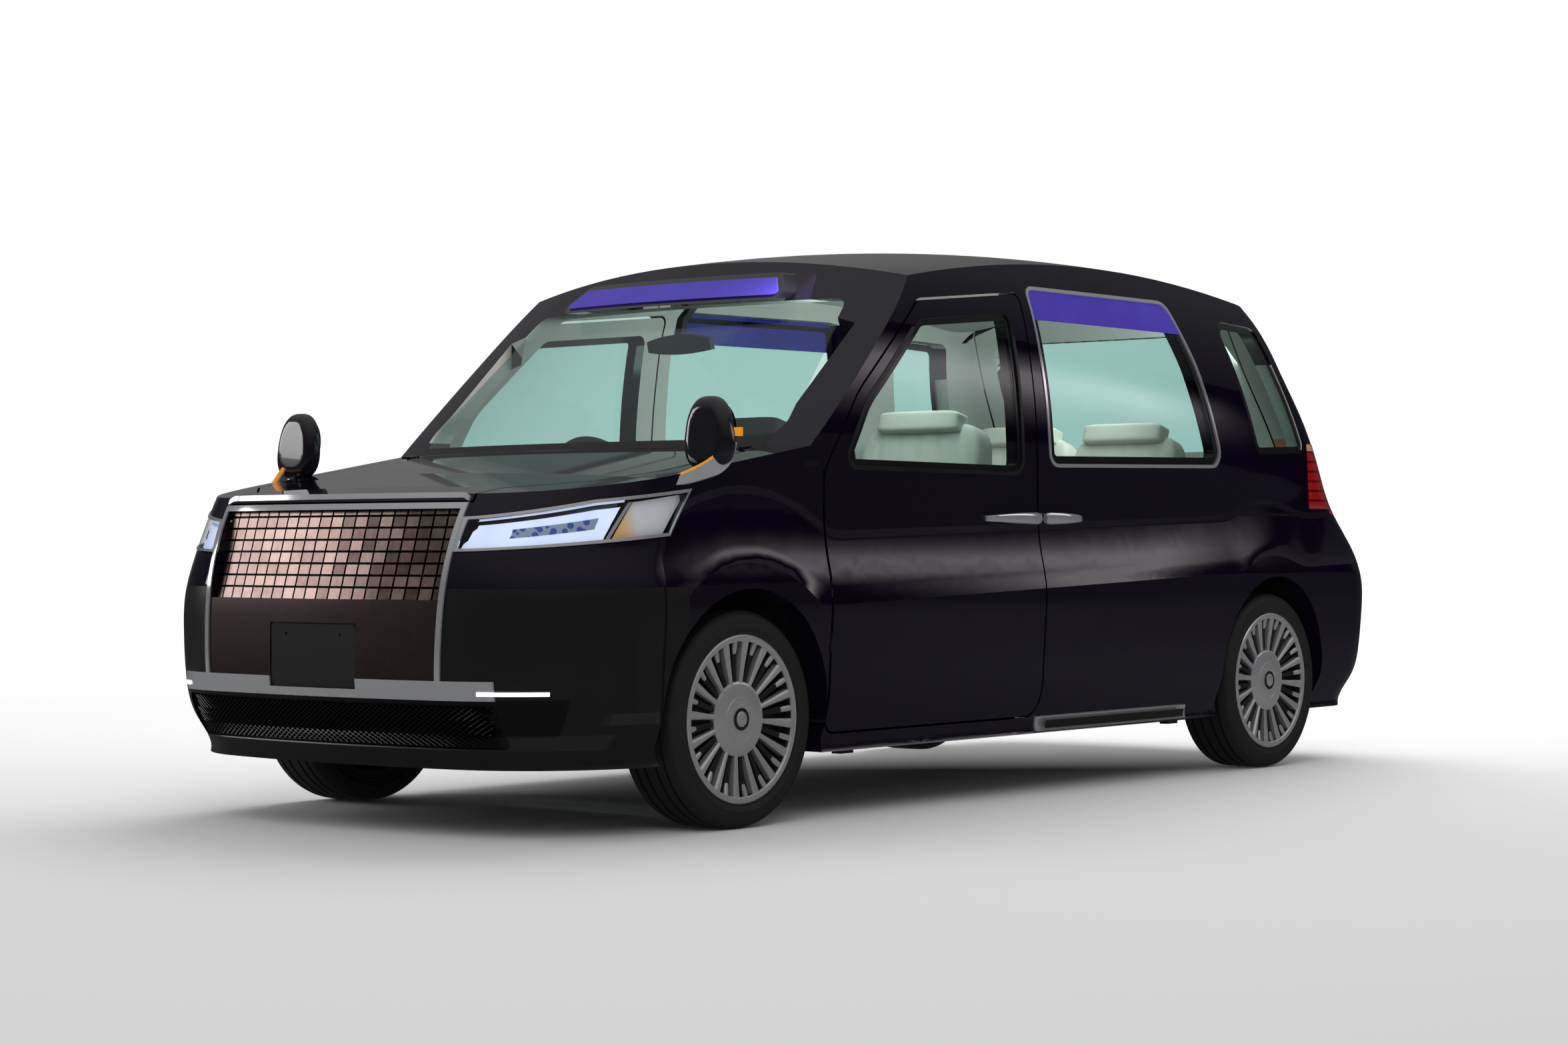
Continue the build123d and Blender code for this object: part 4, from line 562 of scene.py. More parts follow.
# Foot and top of a ring, out from the body's surface.
PRINT, PROUD, LEVEL = (-0.0050, -0.0044), (-0.004, 0.0022), (-0.004, 0.0012)
print_black, spot, put = material("printed_border")
cloud = spot.noise(300.0, 2.0)
put(Base_Color=cloud.tint((0.004, 0.004, 0.005), (0.008, 0.008, 0.009)), Roughness=cloud * 0.1 + 0.15)
for side, name in SIDES:
    door = "front_door_" + name
    for kind, corners, radii, outer, inner, heights, look, body, slot in (
        ("border_front", FRONT_WINDOW, FRONT_RADII, 0.0, -0.020, PRINT, print_black, door, "glass"),
        ("border_rear", REAR_WINDOW, REAR_RADII, 0.0, -0.028, PRINT, print_black, "body", "glass"),
        ("border_quarter", QUARTER_WINDOW, QUARTER_RADII, 0.0, -0.024, PRINT, print_black, "body", "glass"),
        ("surround", REAR_WINDOW, REAR_RADII, 0.007, -0.004, PROUD, chrome, "body", "chrome"),
        ("seal", FRONT_WINDOW, FRONT_RADII, 0.010, -0.003, LEVEL, black_plastic, door, "dark_plastic"),
    ):
        fit(skin_ring(f"{kind}_{name}", corners, radii, outer, inner, heights, look, side), body)

# Lit signs: blank violet diffusers of moulded acrylic with lamps behind them.
# One sits in a gloss black housing over the screen, and the side ones lie across the tops of the rear windows.
sign, spot, put = material("violet_diffuser", Roughness=0.22, Emission_Strength=0.42)
glow = spot.noise(5.0, 2.0)
put(Base_Color=glow.tint((0.035, 0.022, 0.22), (0.050, 0.034, 0.30)),
    Emission_Color=glow.tint((0.045, 0.026, 0.30), (0.085, 0.055, 0.52)))
for node in ("sign_lens", "side_signs"):
    fit(dressed(node, "lit_" + node, sign), "body", node)
gloss_black, spot, put = material("gloss_black", Coat_Weight=1.0, Coat_Roughness=0.02)
cloud = spot.noise(40.0, 2.0)
put(Base_Color=cloud.tint((0.004, 0.004, 0.006), (0.008, 0.007, 0.011)), Roughness=cloud * 0.05 + 0.10)
fit(dressed("sign_housing", "housing_sign", gloss_black), "body", "sign_housing")

# Head lamps: a moulded tray let into each front corner under a clear cover with a bright plated rim.
# Inside are a lit blue-white field with a slot of small lamps, a plated rib and a reflector with a bulb.
LAMP_INNER = 0.458


def lamp_spot(a, b, out):
    """Place in a left head lamp, at shares of the way to its outer end and to its upper edge."""
    outer_x = 1.662 - 0.092 * b
    low_z, high_z = 0.742, 0.826
    for _ in range(6):
        inner_x = nose_x(LAMP_INNER, low_z + (high_z - low_z) * b)
        x = inner_x + (outer_x - inner_x) * a
        low_z = 0.740 + (2.175 - x) / 0.515 * 0.045
        high_z = float(np.interp(x, (1.57, 1.865, 2.065, 2.175), (0.910, 0.878, 0.836, 0.826)))
    return on_skin(x, low_z + (high_z - low_z) * b, out)


def lamp_patch(name, a0, a1, b0, b1, out, look, side, columns=40, rows=8, lean=0.0):
    """Patch inside a head lamp, between two shares of its length and of its height."""
    points = []
    for b in np.linspace(b0, b1, rows + 1):
        for a in np.linspace(a0, a1, columns + 1) + lean * (b - 0.5):
            points.append(lamp_spot(min(max(a, 0.0), 1.0), b, out) * np.array([1, side, 1]))
    piece = build(name, points, grid_faces(rows + 1, columns + 1), look)
    facing = piece.data.polygons[0].normal
    if facing.x + facing.y * side < 0:
        piece.data.flip_normals()
    return piece


def lamp_ring(name, inset, width, low, high, look, side):
    """Rim along the edge of a head lamp."""
    along, up = np.linspace(0.0, 1.0, 60), np.linspace(0.0, 1.0, 16)
    loop = ([(a, 0.0) for a in along] + [(1.0, b) for b in up[1:]] + [(a, 1.0) for a in along[-2::-1]]
            + [(0.0, b) for b in up[-2:0:-1]])
    points = []
    for shift, out in ((inset, low), (inset, high), (inset + width, high), (inset + width, low)):
        da, db = shift / 0.66, shift / 0.105
        for a, b in loop:
            a, b = min(max(a, da), 1 - da), min(max(b, db), 1 - db)
            points.append(lamp_spot(a, b, out) * np.array([1, side, 1]))
    return build(name, points, grid_faces(4, len(loop), around=True, over=True), look)


lit_field, spot, put = material("lit_field", Roughness=0.3, Emission_Strength=0.55)
glow = spot.noise(14.0, 1.0)
put(Base_Color=glow.tint((0.55, 0.62, 0.78), (0.62, 0.70, 0.86)),
    Emission_Color=glow.tint((0.55, 0.68, 1.0), (0.78, 0.86, 1.0)))
small_lamps, spot, put = material("small_lamps", Roughness=0.1, Metallic=0.6)
cell = spot.make("ShaderNodeTexVoronoi", None, {"Vector": spot, "Scale": 48.0})
put(Base_Color=(cell > 0.42).tint((0.10, 0.20, 0.62), (0.55, 0.66, 0.90)))
reflector, spot, put = material("reflector", Metallic=0.15)
off = (spot.part("X") - 1.812) * 17.0
bulb = reckon("MAXIMUM", 1.0 - off * off, 0.0)
put(Base_Color=bulb.tint((0.86, 0.87, 0.90), (0.98, 0.58, 0.22)), Roughness=bulb * 0.1 + 0.22)
clear_cover = see_through("clear_cover", (0.97, 0.98, 1.0), 0.03)
for side, name in SIDES:
    tray = lamp_patch(f"lamp_tray_{name}", 0, 1, 0, 1, -0.034, gloss_black, side)
    fit(tray, "body", "headlamps" if side > 0 else None)
    for piece in (
        lamp_ring(f"lamp_walls_{name}", 0.001, 0.002, -0.034, -0.001, gloss_black, side),
        lamp_patch(f"lamp_field_{name}", 0.022, 0.545, 0.10, 0.80, -0.014, lit_field, side, lean=0.03),
        lamp_patch(f"lamp_strip_{name}", 0.03, 0.56, 0.895, 0.955, -0.010, lit_field, side, rows=2),
        lamp_patch(f"lamp_slot_{name}", 0.12, 0.46, 0.36, 0.60, -0.0125, small_lamps, side, rows=3),
        lamp_patch(f"lamp_rib_{name}", 0.565, 0.590, 0.08, 0.88, -0.010, chrome, side, columns=4, lean=0.05),
        lamp_patch(f"lamp_bowl_{name}", 0.605, 0.985, 0.07, 0.88, -0.018, reflector, side, lean=0.04),
        lamp_patch(f"lamp_cover_{name}", 0, 1, 0, 1, 0.0, clear_cover, side),
        lamp_ring(f"lamp_rim_{name}", 0.0, 0.008, -0.002, 0.003, chrome, side),
    ):
        fit(piece, "body")

# Day lamps: white light strips of moulded acrylic, let into the ends of the bright lower bar.
day_lamp, spot, put = material("day_lamp", Roughness=0.3, Emission_Strength=0.7)
cloud = spot.noise(50.0, 1.0)
put(Base_Color=cloud.tint((0.8, 0.8, 0.82), (0.9, 0.9, 0.92)),
    Emission_Color=cloud.tint((0.85, 0.88, 0.92), (1.0, 1.0, 1.0)))
for side, name in SIDES:
    points, faces = [], []
    path = [np.array([nose_x(y, 0.384) + 0.0085, y * side, 0.384]) for y in np.linspace(0.562, 0.712, 13)]
    rod(points, faces, path, [(np.array([0, 0, 0.0055]), np.array([0.003, 0, 0]))] * len(path))
    fit(build(f"day_lamp_{name}", points, faces, day_lamp, smooth=False), "body")

# Tail lamps: red moulded covers round the rear corners, with stacked lit segments and an amber top.
# A thin wing of each cover laps forward over the rear wing.
red, spot, put = material("lamp_red", Roughness=0.08, Coat_Weight=1.0)
z = spot.part("Z")
segments = (reckon("FRACT", z * 30.0) > 0.22).tint((0.10, 0.003, 0.004), (0.36, 0.010, 0.014))
put(Base_Color=(z > 1.075).tint(segments, (0.75, 0.33, 0.22)))
fit(dressed("tail_lamps", "red_lamps", red), "body", "tail_lamps")
for side, name in SIDES:
    points = []
    for v in np.linspace(0, 1, 13):
        for x in np.linspace(-1.682 - 0.014 * v, -1.838 + 0.085 * v, 9):
            points.append(on_skin(x, 0.874 + 0.224 * v, 0.0022) * np.array([1, side, 1]))
    wing = build("lamp_wing_" + name, points, grid_faces(13, 9), red)
    wing.modifiers.new("thick", "SOLIDIFY").thickness = 0.0025
    fit(wing, "body")

# Small marks on the sides: the sliding doors' rail slots, the dark slot before each front door and the black
# rubber treads in the step frames. The fuel flap's shut line is a ring on the left side.
for side, name in SIDES:
    flip = np.array([1, side, 1])
    for kind, first, last, z, half, out, look in (
        ("rail", -1.165, -1.800, 0.853, 0.0040, 0.0002, print_black),
        ("step", -0.835, -0.045, 0.2125, 0.0125, 0.0064, black_plastic),
        ("slot", 1.048, 1.108, 0.984, 0.0075, 0.0004, print_black),
    ):
        points, faces, path, across = [], [], [], []
        for x in np.linspace(first, last, 8 if kind == "slot" else 30):
            p = on_skin(x, z, out)
            n = on_skin(x, z, out + 1.0) - p
            up = np.array([0, 0, 1.0]) - n * n[2]
            path.append(p * flip)
            across.append((up / np.linalg.norm(up) * half * flip, n * flip * 0.0004))
        rod(points, faces, path, across)
        fit(build(f"{kind}_{name}", points, faces, look, smooth=False), "body")
flap = [(-1.655 + 0.078 * math.cos(t), 0.772 + 0.078 * math.sin(t))
        for t in np.linspace(0, 2 * math.pi, 12, endpoint=False)]
fit(skin_ring("flap_line", flap, (0.03,) * 12, 0.001, -0.001, (-0.001, 0.0003), print_black, 1), "body")

# Fender mirrors: gloss pods of moulded plastic with silvered glass behind, on plated stalks on the wings.
# An amber lamp runs along each stalk's edge, and another sits in the pod's outer side.
amber, spot, put = material("amber_lamp", Roughness=0.12, Coat_Weight=1.0, Emission_Strength=0.25)
cloud = spot.noise(60.0, 2.0)
put(Base_Color=cloud.tint((0.75, 0.24, 0.01), (0.95, 0.36, 0.02)),
    Emission_Color=cloud.tint((0.9, 0.32, 0.02), (1.0, 0.45, 0.04)))
silver, spot, put = material("mirror_glass", Metallic=1.0, Roughness=0.02)
cloud = spot.noise(20.0, 1.0)
put(Base_Color=cloud.tint((0.70, 0.73, 0.76), (0.76, 0.79, 0.82)))
STALK = np.array([(1.487, 0.868, 1.035), (1.498, 0.866, 1.000), (1.520, 0.858, 0.972), (1.560, 0.838, 0.950),
                  (1.610, 0.806, 0.930), (1.660, 0.786, 0.918)])
for side, name in SIDES:
    flip = np.array([1, side, 1])
    points = []
    for v in np.linspace(-math.pi / 2, math.pi / 2, 29):
        for u in np.linspace(0, 2 * math.pi, 56, endpoint=False):
            y = 0.076 * power(math.cos(v), 0.70) * power(math.cos(u), 0.75)
            x = min(max(0.037 * power(math.cos(v), 0.75) * power(math.sin(u), 0.75), -0.034), 0.030)
            z = 0.0985 * power(math.sin(v), 0.80)
            narrow = 1.0 - 0.16 * (z / 0.09)
            points.append((1.500 + x - 0.06 * z, (0.812 + y * narrow - 0.03 * z) * side, 1.057 + z))
    pod = build(f"mirror_pod_{name}", points, grid_faces(29, 56, around=True), gloss_black, sharp=60)
    fit(pod, "body", "mirrors" if side > 0 else None)
    points = []
    for t in np.linspace(0, 2 * math.pi, 40, endpoint=False):
        z = 0.076 * math.sin(t)
        points.append((1.4655 - 0.06 * z, (0.815 + 0.060 * math.cos(t) - 0.03 * z) * side, 1.064 + z))
    face = build(f"mirror_glass_{name}", points, [tuple(range(40))], silver, smooth=False)
    fit(face, "body")
    t = np.linspace(0, 1, 40)
    spine = np.stack([spline(t, np.linspace(0, 1, len(STALK)), STALK[:, k]) for k in range(3)], 1)
    wide = np.interp(t, (0, 0.45, 0.75, 1.0), (0.020, 0.022, 0.014, 0.004))
    for kind, thick, look in (("stalk", 0.007, chrome), ("edge", 0.0055, amber)):
        points, faces, path, across = [], [], [], []
        for k, p in enumerate(spine):
            along = spine[min(k + 1, 39)] - spine[max(k - 1, 0)]
            along /= np.linalg.norm(along)
            flat = np.cross(along, np.array([0.45, 0.85, 0.25]))
            flat *= math.copysign(1 / np.linalg.norm(flat), flat[0])
            half = wide[k] if kind == "stalk" else 0.0035
            centre = p if kind == "stalk" else p + flat * (wide[k] + 0.003)
            path.append(centre * flip)
            across.append((flat * half * flip, np.cross(along, flat) * thick * flip))
        rod(points, faces, path, across)
        fit(build(f"mirror_{kind}_{name}", points, faces, look), "body")
    points, faces = [], []
    rings = [[(1.496, 0.883, 1.048), (1.496, 0.883, 1.070), (1.456, 0.889, 1.072), (1.456, 0.889, 1.048)],
             [(1.496, 0.873, 1.048), (1.496, 0.873, 1.070), (1.456, 0.877, 1.072), (1.456, 0.877, 1.048)]]
    sleeve(points, faces, [[np.array(p) * flip for p in ring] for ring in rings])
    fit(build(f"mirror_lamp_{name}", points, faces, amber, smooth=False), "body")

# Running gear and shell: pressed steel, welded and dipped black, with the cast engine bolted between the front
# rails and the knuckles on their arms.
steel, spot, put = material("black_steel", Metallic=0.4)
cloud = spot.noise(50.0, 3.0)
put(Base_Color=cloud.tint((0.012, 0.012, 0.013), (0.030, 0.030, 0.032)), Roughness=cloud * 0.2 + 0.4)
for node in ("bulkhead", "floor_pan", "front_subframe", "rear_axle", "engine", "knuckle_left",
             "knuckle_right"):
    coat(node, steel)

# Dashboard and steering wheel: soft moulded skin with a pebbled grain over foam, the dashboard screwed to the
# bulkhead and the wheel on its column.
dark_trim, spot, put = material("dark_trim")
cloud = spot.noise(400.0, 3.0)
put(Base_Color=cloud.tint((0.020, 0.020, 0.021), (0.034, 0.034, 0.036)), Roughness=cloud * 0.15 + 0.55,
    Normal=cloud.bump(0.1, 0.0005))
for node in ("dashboard", "steering_wheel"):
    coat(node, dark_trim)

# Seats: foam cushions, backs and low rolls for the head, in sewn covers, dark for the driver and cream for the
# passengers. They sit on boxed steel bases bolted to the floor.
fabric, spot, put = material("dark_fabric")
weave = spot.noise(700.0, 2.0)
put(Base_Color=weave.tint((0.016, 0.016, 0.018), (0.032, 0.032, 0.035)), Roughness=weave * 0.1 + 0.75,
    Normal=weave.bump(0.2, 0.0005))
cream, spot, put = material("cream_leather")
cloud = spot.noise(300.0, 4.0)
put(Base_Color=cloud.tint((0.66, 0.62, 0.56), (0.74, 0.70, 0.64)), Roughness=cloud * 0.15 + 0.45,
    Normal=cloud.bump(0.1, 0.0006))
SEAT_FLOOR = 0.2454


def pad(name, centre, axes, half, look, channels):
    """Stuffed pad: a crowned closed form, drawn in at its sides and stitched in channels across its face."""
    points, faces = [], []
    grid = np.linspace(-1, 1, 37)
    seams = np.linspace(-0.62, 0.62, channels) * half[0]
    for axis in range(3):
        for end in (-1, 1):
            faces.extend(grid_faces(37, 37, len(points)))
            for u in grid:
                for v in grid:
                    p = np.zeros(3)
                    p[axis], p[(axis + 1) % 3], p[(axis + 2) % 3] = end, u, v
                    p = p / (np.abs(p) ** 6).sum() ** (1 / 6)
                    p[0] *= 1 - 0.035 * (1 - p[1] ** 2)
                    p[1] *= 1 - 0.030 * (1 - p[0] ** 2)
                    q = p * np.array(half)
                    if channels and p[2] > 0:
                        within = max(0.0, 1 - abs(p[1]) ** 8)
                        q[2] -= 0.007 * within * np.exp(-(np.min(np.abs(seams - q[0])) / 0.007) ** 2)
                    points.append(centre + axes.T @ q)
    return build(name, points, faces, look, sharp=80)


for name, node, x, y, width, back, recline, base, look, slot in (
    ("driver", "driver_seat", 0.520, -0.36, 0.480, 0.560, 14, 0.060, fabric, "dark_fabric"),
    ("passenger", "passenger_seat", 0.520, 0.36, 0.480, 0.560, 14, 0.060, cream, "pale_leather"),
    ("rear_right", None, -0.515, -0.43, 0.431, 0.520, 16, 0.090, cream, "pale_leather"),
    ("rear_middle", "rear_bench", -0.515, 0.0, 0.431, 0.520, 16, 0.090, cream, "pale_leather"),
    ("rear_left", None, -0.515, 0.43, 0.431, 0.520, 16, 0.090, cream, "pale_leather"),
):
    lean, base = math.radians(recline), SEAT_FLOOR + base
    aside = np.array([0, 1.0, 0])
    rise = np.array([-math.sin(lean), 0, math.cos(lean)])
    forward = np.array([math.cos(lean), 0, math.sin(lean)])
    flat, upright = np.array([aside, [1.0, 0, 0], [0, 0, 1.0]]), np.array([aside, rise, forward])
    hip, half = np.array([x - 0.44, y, base + 0.19]), width / 2 - 0.001
    for kind, centre, axes, size, channels, stands_for in (
        ("cushion", np.array([x - 0.25, y, base + 0.095]), flat, (half, 0.249, 0.094), 5, node),
        ("back", hip + rise * back / 2, upright, (half, back / 2 + 0.100, 0.058), 5, None),
        ("headrest", hip + rise * (back + 0.088) + forward * 0.045, upright, (0.160, 0.034, 0.042), 0, None),
    ):
        piece = pad(f"{kind}_{name}", centre, axes, size, look, channels)
        fit(piece, "body", stands_for)
for name, x0, x1, y, half, tall in (("driver", 0.07, 0.46, -0.36, 0.18, 0.07),
                                    ("passenger", 0.07, 0.46, 0.36, 0.18, 0.07),
                                    ("bench", -0.935, -0.575, 0.0, 0.60, 0.10)):
    points, faces = [], []
    rod(points, faces, [np.array([x, y, SEAT_FLOOR + tall / 2]) for x in (x0, x1)],
        [(np.array([0, half, 0]), np.array([0, 0, tall / 2]))] * 2)
    fit(build("seat_base_" + name, points, faces, dark_trim, smooth=False), "body")

# Inside mirror: a silvered glass in a moulded shell, on a bent stalk from the header over the screen.
points, faces = [], []
places = np.linspace(-0.125, 0.125, 15)
rod(points, faces, [np.array([0.700, y, 1.365 - 0.25 * y * y]) for y in places],
    [(np.array([0.004, 0, 0.030 - 0.9 * y * y]), np.array([0.010, 0, -0.0015])) for y in places])
rod(points, faces, [np.array([0.704, 0, 1.385]), np.array([0.690, 0, 1.440]), np.array([0.585, 0, 1.535])],
    [(np.array([0, 0.012, 0]), np.array([0.010, 0, 0.004]))] * 3)
fit(build("inside_mirror", points, faces, dark_trim), "body")

# Wheels: moulded rubber tyres with four grooves round the tread and ribs on the sidewall, on cast rims.
# The rims have a turned lip, a plain domed hub cover and narrow spokes, half of them polished to the lip
# and half lower, painted dark, with a bright tab at the end.
rubber, spot, put = material("tyre_rubber")
cloud = spot.noise(200.0, 3.0)
put(Base_Color=cloud.tint((0.010, 0.010, 0.010), (0.020, 0.020, 0.020)), Roughness=cloud * 0.15 + 0.48)
alloy, spot, put = material("machined_alloy", Metallic=0.75)
cloud = spot.noise(80.0, 3.0)
put(Base_Color=cloud.tint((0.70, 0.70, 0.72), (0.75, 0.75, 0.77)), Roughness=cloud * 0.03 + 0.24)
shade, spot, put = material("painted_alloy", Metallic=0.7)
cloud = spot.noise(90.0, 3.0)
put(Base_Color=cloud.tint((0.028, 0.026, 0.032), (0.045, 0.042, 0.050)), Roughness=cloud * 0.1 + 0.32)

# Profiles list radius and reach outward from the wheel's middle plane.
HUB_Y, HUB_Z = 0.716, 0.294
HALF_TYRE = [
    (0.216, 0.086), (0.226, 0.0885), (0.2285, 0.0925), (0.231, 0.0925), (0.2325, 0.0915), (0.245, 0.0962),
    (0.2475, 0.0972), (0.250, 0.0972), (0.2515, 0.0964), (0.262, 0.0972), (0.275, 0.0948), (0.285, 0.088),
    (0.288, 0.0835), (0.287, 0.082), (0.2895, 0.0805), (0.2925, 0.070), (0.2935, 0.0565), (0.2865, 0.056),
    (0.2865, 0.049), (0.2938, 0.0485), (0.294, 0.0245), (0.287, 0.024), (0.287, 0.0165), (0.294, 0.016),
]
TYRE = HALF_TYRE + [(r, -w) for r, w in reversed(HALF_TYRE)] + [(0.209, -0.086), (0.209, 0.086)]
LIP = [(0.2085, 0.0885), (0.2115, 0.0935), (0.2165, 0.0945), (0.2225, 0.094), (0.2265, 0.0915),
       (0.2275, 0.0885), (0.216, 0.086), (0.209, 0.085)]
HUB = [(0.002, 0.0925), (0.012, 0.0922), (0.019, 0.0905), (0.0215, 0.088), (0.022, 0.0862), (0.024, 0.0868),
       (0.057, 0.0843), (0.058, 0.083), (0.060, 0.083), (0.061, 0.0836), (0.090, 0.080), (0.098, 0.0785),
       (0.101, 0.0765), (0.101, 0.060), (0.002, 0.060)]
DISC = [(0.0300, 0.058), (0.1000, 0.058), (0.2000, 0.052), (0.2090, 0.056), (0.2090, -0.085), (0.2050, -0.085),
        (0.2050, 0.044), (0.1000, 0.048), (0.0300, 0.048)]
# Stations of a spoke list radius, half width, half width at the top, reach of the foot and of the top.
LONG_SPOKE = ((0.096, 0.0062, 0.0026, 0.062, 0.0790), (0.150, 0.0088, 0.0038, 0.062, 0.0840),
              (0.2095, 0.0128, 0.0070, 0.066, 0.0905))
TAB = ((0.176, 0.0058, 0.0026, 0.060, 0.0800), (0.190, 0.0078, 0.0036, 0.062, 0.0838),
       (0.2095, 0.0078, 0.0036, 0.066, 0.0885))
LOW_SPOKE = ((0.096, 0.0058, 0.0042, 0.058, 0.0730), (0.150, 0.0075, 0.0055, 0.058, 0.0755),
             (0.2085, 0.0100, 0.0075, 0.058, 0.0790))


def lathe(points, faces, centre, side, profile, turns):
    """Add a profile swept about a wheel's axle."""
    faces.extend(grid_faces(turns, len(profile), len(points), around=True, over=True))
    for t in np.linspace(0, 2 * math.pi, turns, endpoint=False):
        for r, w in profile:
            points.append((centre[0] + r * math.cos(t), centre[1] + w * side, centre[2] + r * math.sin(t)))


def spoke(points, faces, centre, side, number, stations):
    """Add one of 32 raised bars along the wheel's radii."""
    angle = 2 * math.pi * (number + 0.5) / 32
    c, s = math.cos(angle), math.sin(angle)
    rings = []
    for r, half, crown, foot, top in stations:
        bevel = top - (half - crown)
        section = ((half, foot), (half, bevel), (crown, top), (-crown, top), (-half, bevel), (-half, foot))
        rings.append([(centre[0] + r * c - w * s, centre[1] + reach * side, centre[2] + r * s + w * c)
                      for w, reach in section])
    sleeve(points, faces, rings)


for corner, x, side in (("front_left", FRONT_AXLE_X, 1), ("front_right", FRONT_AXLE_X, -1),
                        ("rear_left", REAR_AXLE_X, 1), ("rear_right", REAR_AXLE_X, -1)):
    centre, body = (x, HUB_Y * side, HUB_Z), "wheel_" + corner
    points, faces = [], []
    lathe(points, faces, centre, side, TYRE, 120)
    fit(build("rubber_" + corner, points, faces, rubber, sharp=35), body, "tyre_" + corner)
    points, faces = [], []
    lathe(points, faces, centre, side, LIP, 120)
    lathe(points, faces, centre, side, HUB, 96)
    for number in range(32):
        spoke(points, faces, centre, side, number, TAB if number % 2 else LONG_SPOKE)
    fit(build("rim_bright_" + corner, points, faces, alloy, sharp=25), body, "rim_" + corner)
    points, faces = [], []
    lathe(points, faces, centre, side, DISC, 96)
    for number in range(1, 32, 2):
        spoke(points, faces, centre, side, number, LOW_SPOKE)
    fit(build("rim_back_" + corner, points, faces, shade, sharp=25), body)

# Studio floor: a pale painted disc that fades into the white surround behind the car. Its colour is painted
# greyer towards the camera and whiter near the car, as painted shade.
# Reflections see little of it, as in a studio with dark cloths laid out of view.
turns, rings = 96, (0.0, 3.0, 6.0, 9.0, 14.0, 22.0, 34.0)
points = [(r * math.cos(t), r * math.sin(t), 0.0)
          for r in rings for t in np.linspace(0, 2 * math.pi, turns, endpoint=False)]
floor_look, spot, put = material("studio_floor", Roughness=0.8, Specular_IOR_Level=0.2)
cloud = spot.noise(0.5, 1.0)
glossy = spot.make("ShaderNodeLightPath", None, None, 3)
depth = spot.part("X") * -0.77 + spot.part("Y") * -0.637
fade = depth.ramp(7.0, 0.5)
# Painted shade: the floor's colour goes from grey nearest the camera to white near the car.
put(Base_Color=(depth.ramp(-6.5, 0.5) + cloud * 0.02).tint((0.80, 0.80, 0.805), (0.93, 0.93, 0.93)),
    Alpha=fade * fade * (1.0 - glossy * 0.92))
floor = build("floor", points, grid_faces(len(rings), turns, around=True), floor_look, smooth=False)
if floor.data.polygons[0].normal.z < 0:
    floor.data.flip_normals()

# Surround: white to the camera and through glass, dim for the rest, and dark in reflections, with a paler
# top and a soft glow at the rear right that lies on the bonnet.
world = bpy.data.worlds.new("studio")
bpy.context.scene.world = world
world.use_nodes = True
tree = world.node_tree
ray = tree.nodes.new("ShaderNodeLightPath").outputs
way = Wire(tree, tree.nodes.new("ShaderNodeTexCoord").outputs["Generated"])
x, y, z = (way.part(letter) for letter in "XYZ")
glow = reckon("MAXIMUM", x * -0.655 + y * -0.710 + z * 0.26 - 0.90, 0.0) * 9.0
dome = reckon("MAXIMUM", z - 0.22, 0.0) * 0.45 + glow * glow * 0.22 + 0.035
shown = Wire(tree, ray["Is Camera Ray"]) + Wire(tree, ray["Is Transmission Ray"])
glossy = Wire(tree, ray["Is Glossy Ray"])
strength = shown + (1.0 - shown) * (glossy * dome + (1.0 - glossy) * 0.4)
background = tree.nodes["Background"]
background.inputs["Color"].default_value = (1, 1, 1, 1)
tree.links.new(strength.socket, background.inputs["Strength"])


# Lamps: large soft boxes overhead, at the front right and over the camera, and a strip under the roof's
# left edge that lights the cabin. Only the one at the front right shows in reflections.
def soft_box(name, place, target, size, watts, mirrored=False):
    """Large area lamp aimed at a point."""
    data = bpy.data.lights.new(name, "AREA")
    data.shape = "RECTANGLE"
    data.size, data.size_y = size
    data.energy = watts
    lamp = bpy.data.objects.new(name, data)
    lamp.location = place
    lamp.rotation_euler = (Vector(target) - Vector(place)).to_track_quat("-Z", "Y").to_euler()
    lamp.visible_glossy = mirrored
    bpy.context.scene.collection.objects.link(lamp)


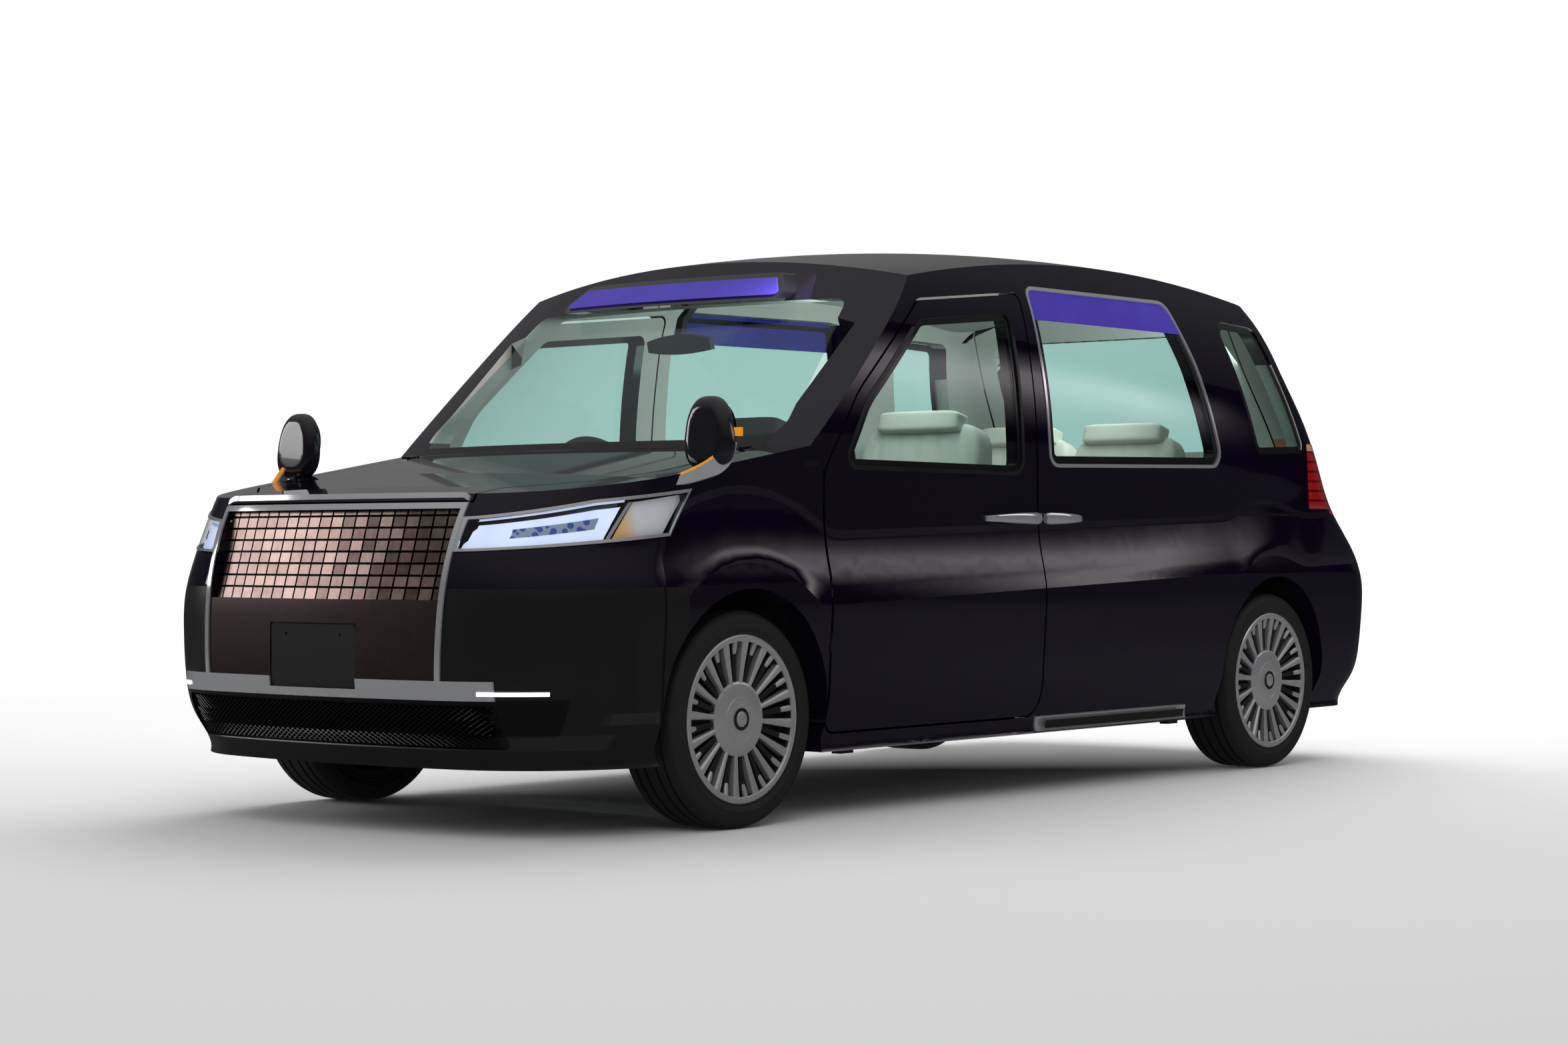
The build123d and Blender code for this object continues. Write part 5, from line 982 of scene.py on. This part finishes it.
soft_box("overhead", (-4.0, -1.5, 6.0), (-1.5, 0, 0), (7.0, 7.0), 420)
soft_box("front_right", (5.5, -6.5, 3.0), (1.5, 0, 0.7), (4.0, 2.5), 110, True)
soft_box("front_fill", (7.5, 6.0, 7.0), (0.5, 0, 0.5), (6.0, 6.0), 230)
soft_box("cabin", (-0.4, 0.50, 1.47), (-0.4, -0.6, 0.9), (2.6, 0.2), 16)

# Panel beside the car: a white sheet lit along its middle, which draws the band along the sides.
# It stands out of view and shows only in reflections.
panel_look, spot, put = material("lit_panel", Roughness=0.9, Emission_Strength=1.0, Specular_IOR_Level=0.0)
x, z = spot.part("X"), spot.part("Z")
lit = z.ramp(1.40, 1.95) * z.ramp(2.45, 2.10) * x.ramp(-6.0, -4.6) * x.ramp(-0.1, -1.0)
put(Base_Color=(lit * 0.5).tint((0, 0, 0), (0.02, 0.02, 0.02)),
    Emission_Color=(lit * lit).tint((0, 0, 0), (1.3, 1.18, 1.25)))
corners = [(-6.5, 2.9, 1.30), (-0.3, 2.9, 1.30), (-0.3, 2.9, 2.55), (-6.5, 2.9, 2.55)]
panel = build("panel", corners, [(0, 1, 2, 3)], panel_look, smooth=False)
panel.visible_camera = panel.visible_transmission = panel.visible_shadow = False

# Camera at the photograph's place: a long lens at the height of the door handles, off the left front corner.
camera = bpy.data.cameras.new("camera")
camera.lens = 69.43
camera.sensor_width = 36.0
eye = bpy.data.objects.new("camera", camera)
bpy.context.scene.collection.objects.link(eye)
bpy.context.scene.camera = eye
yaw, pitch, roll = (math.radians(v) for v in (219.6048, 0.3203, -0.2019))
ahead = Vector((math.cos(pitch) * math.cos(yaw), math.cos(pitch) * math.sin(yaw), math.sin(pitch)))
right = ahead.cross(Vector((0, 0, 1))).normalized()
up = right.cross(ahead)
right, up = math.cos(roll) * right + math.sin(roll) * up, math.cos(roll) * up - math.sin(roll) * right
place = (7.530, 6.054, 0.775)
eye.matrix_world = Matrix([[right[i], up[i], -ahead[i], place[i]] for i in range(3)] + [[0, 0, 0, 1]])
bpy.context.scene.view_settings.view_transform = "Standard"
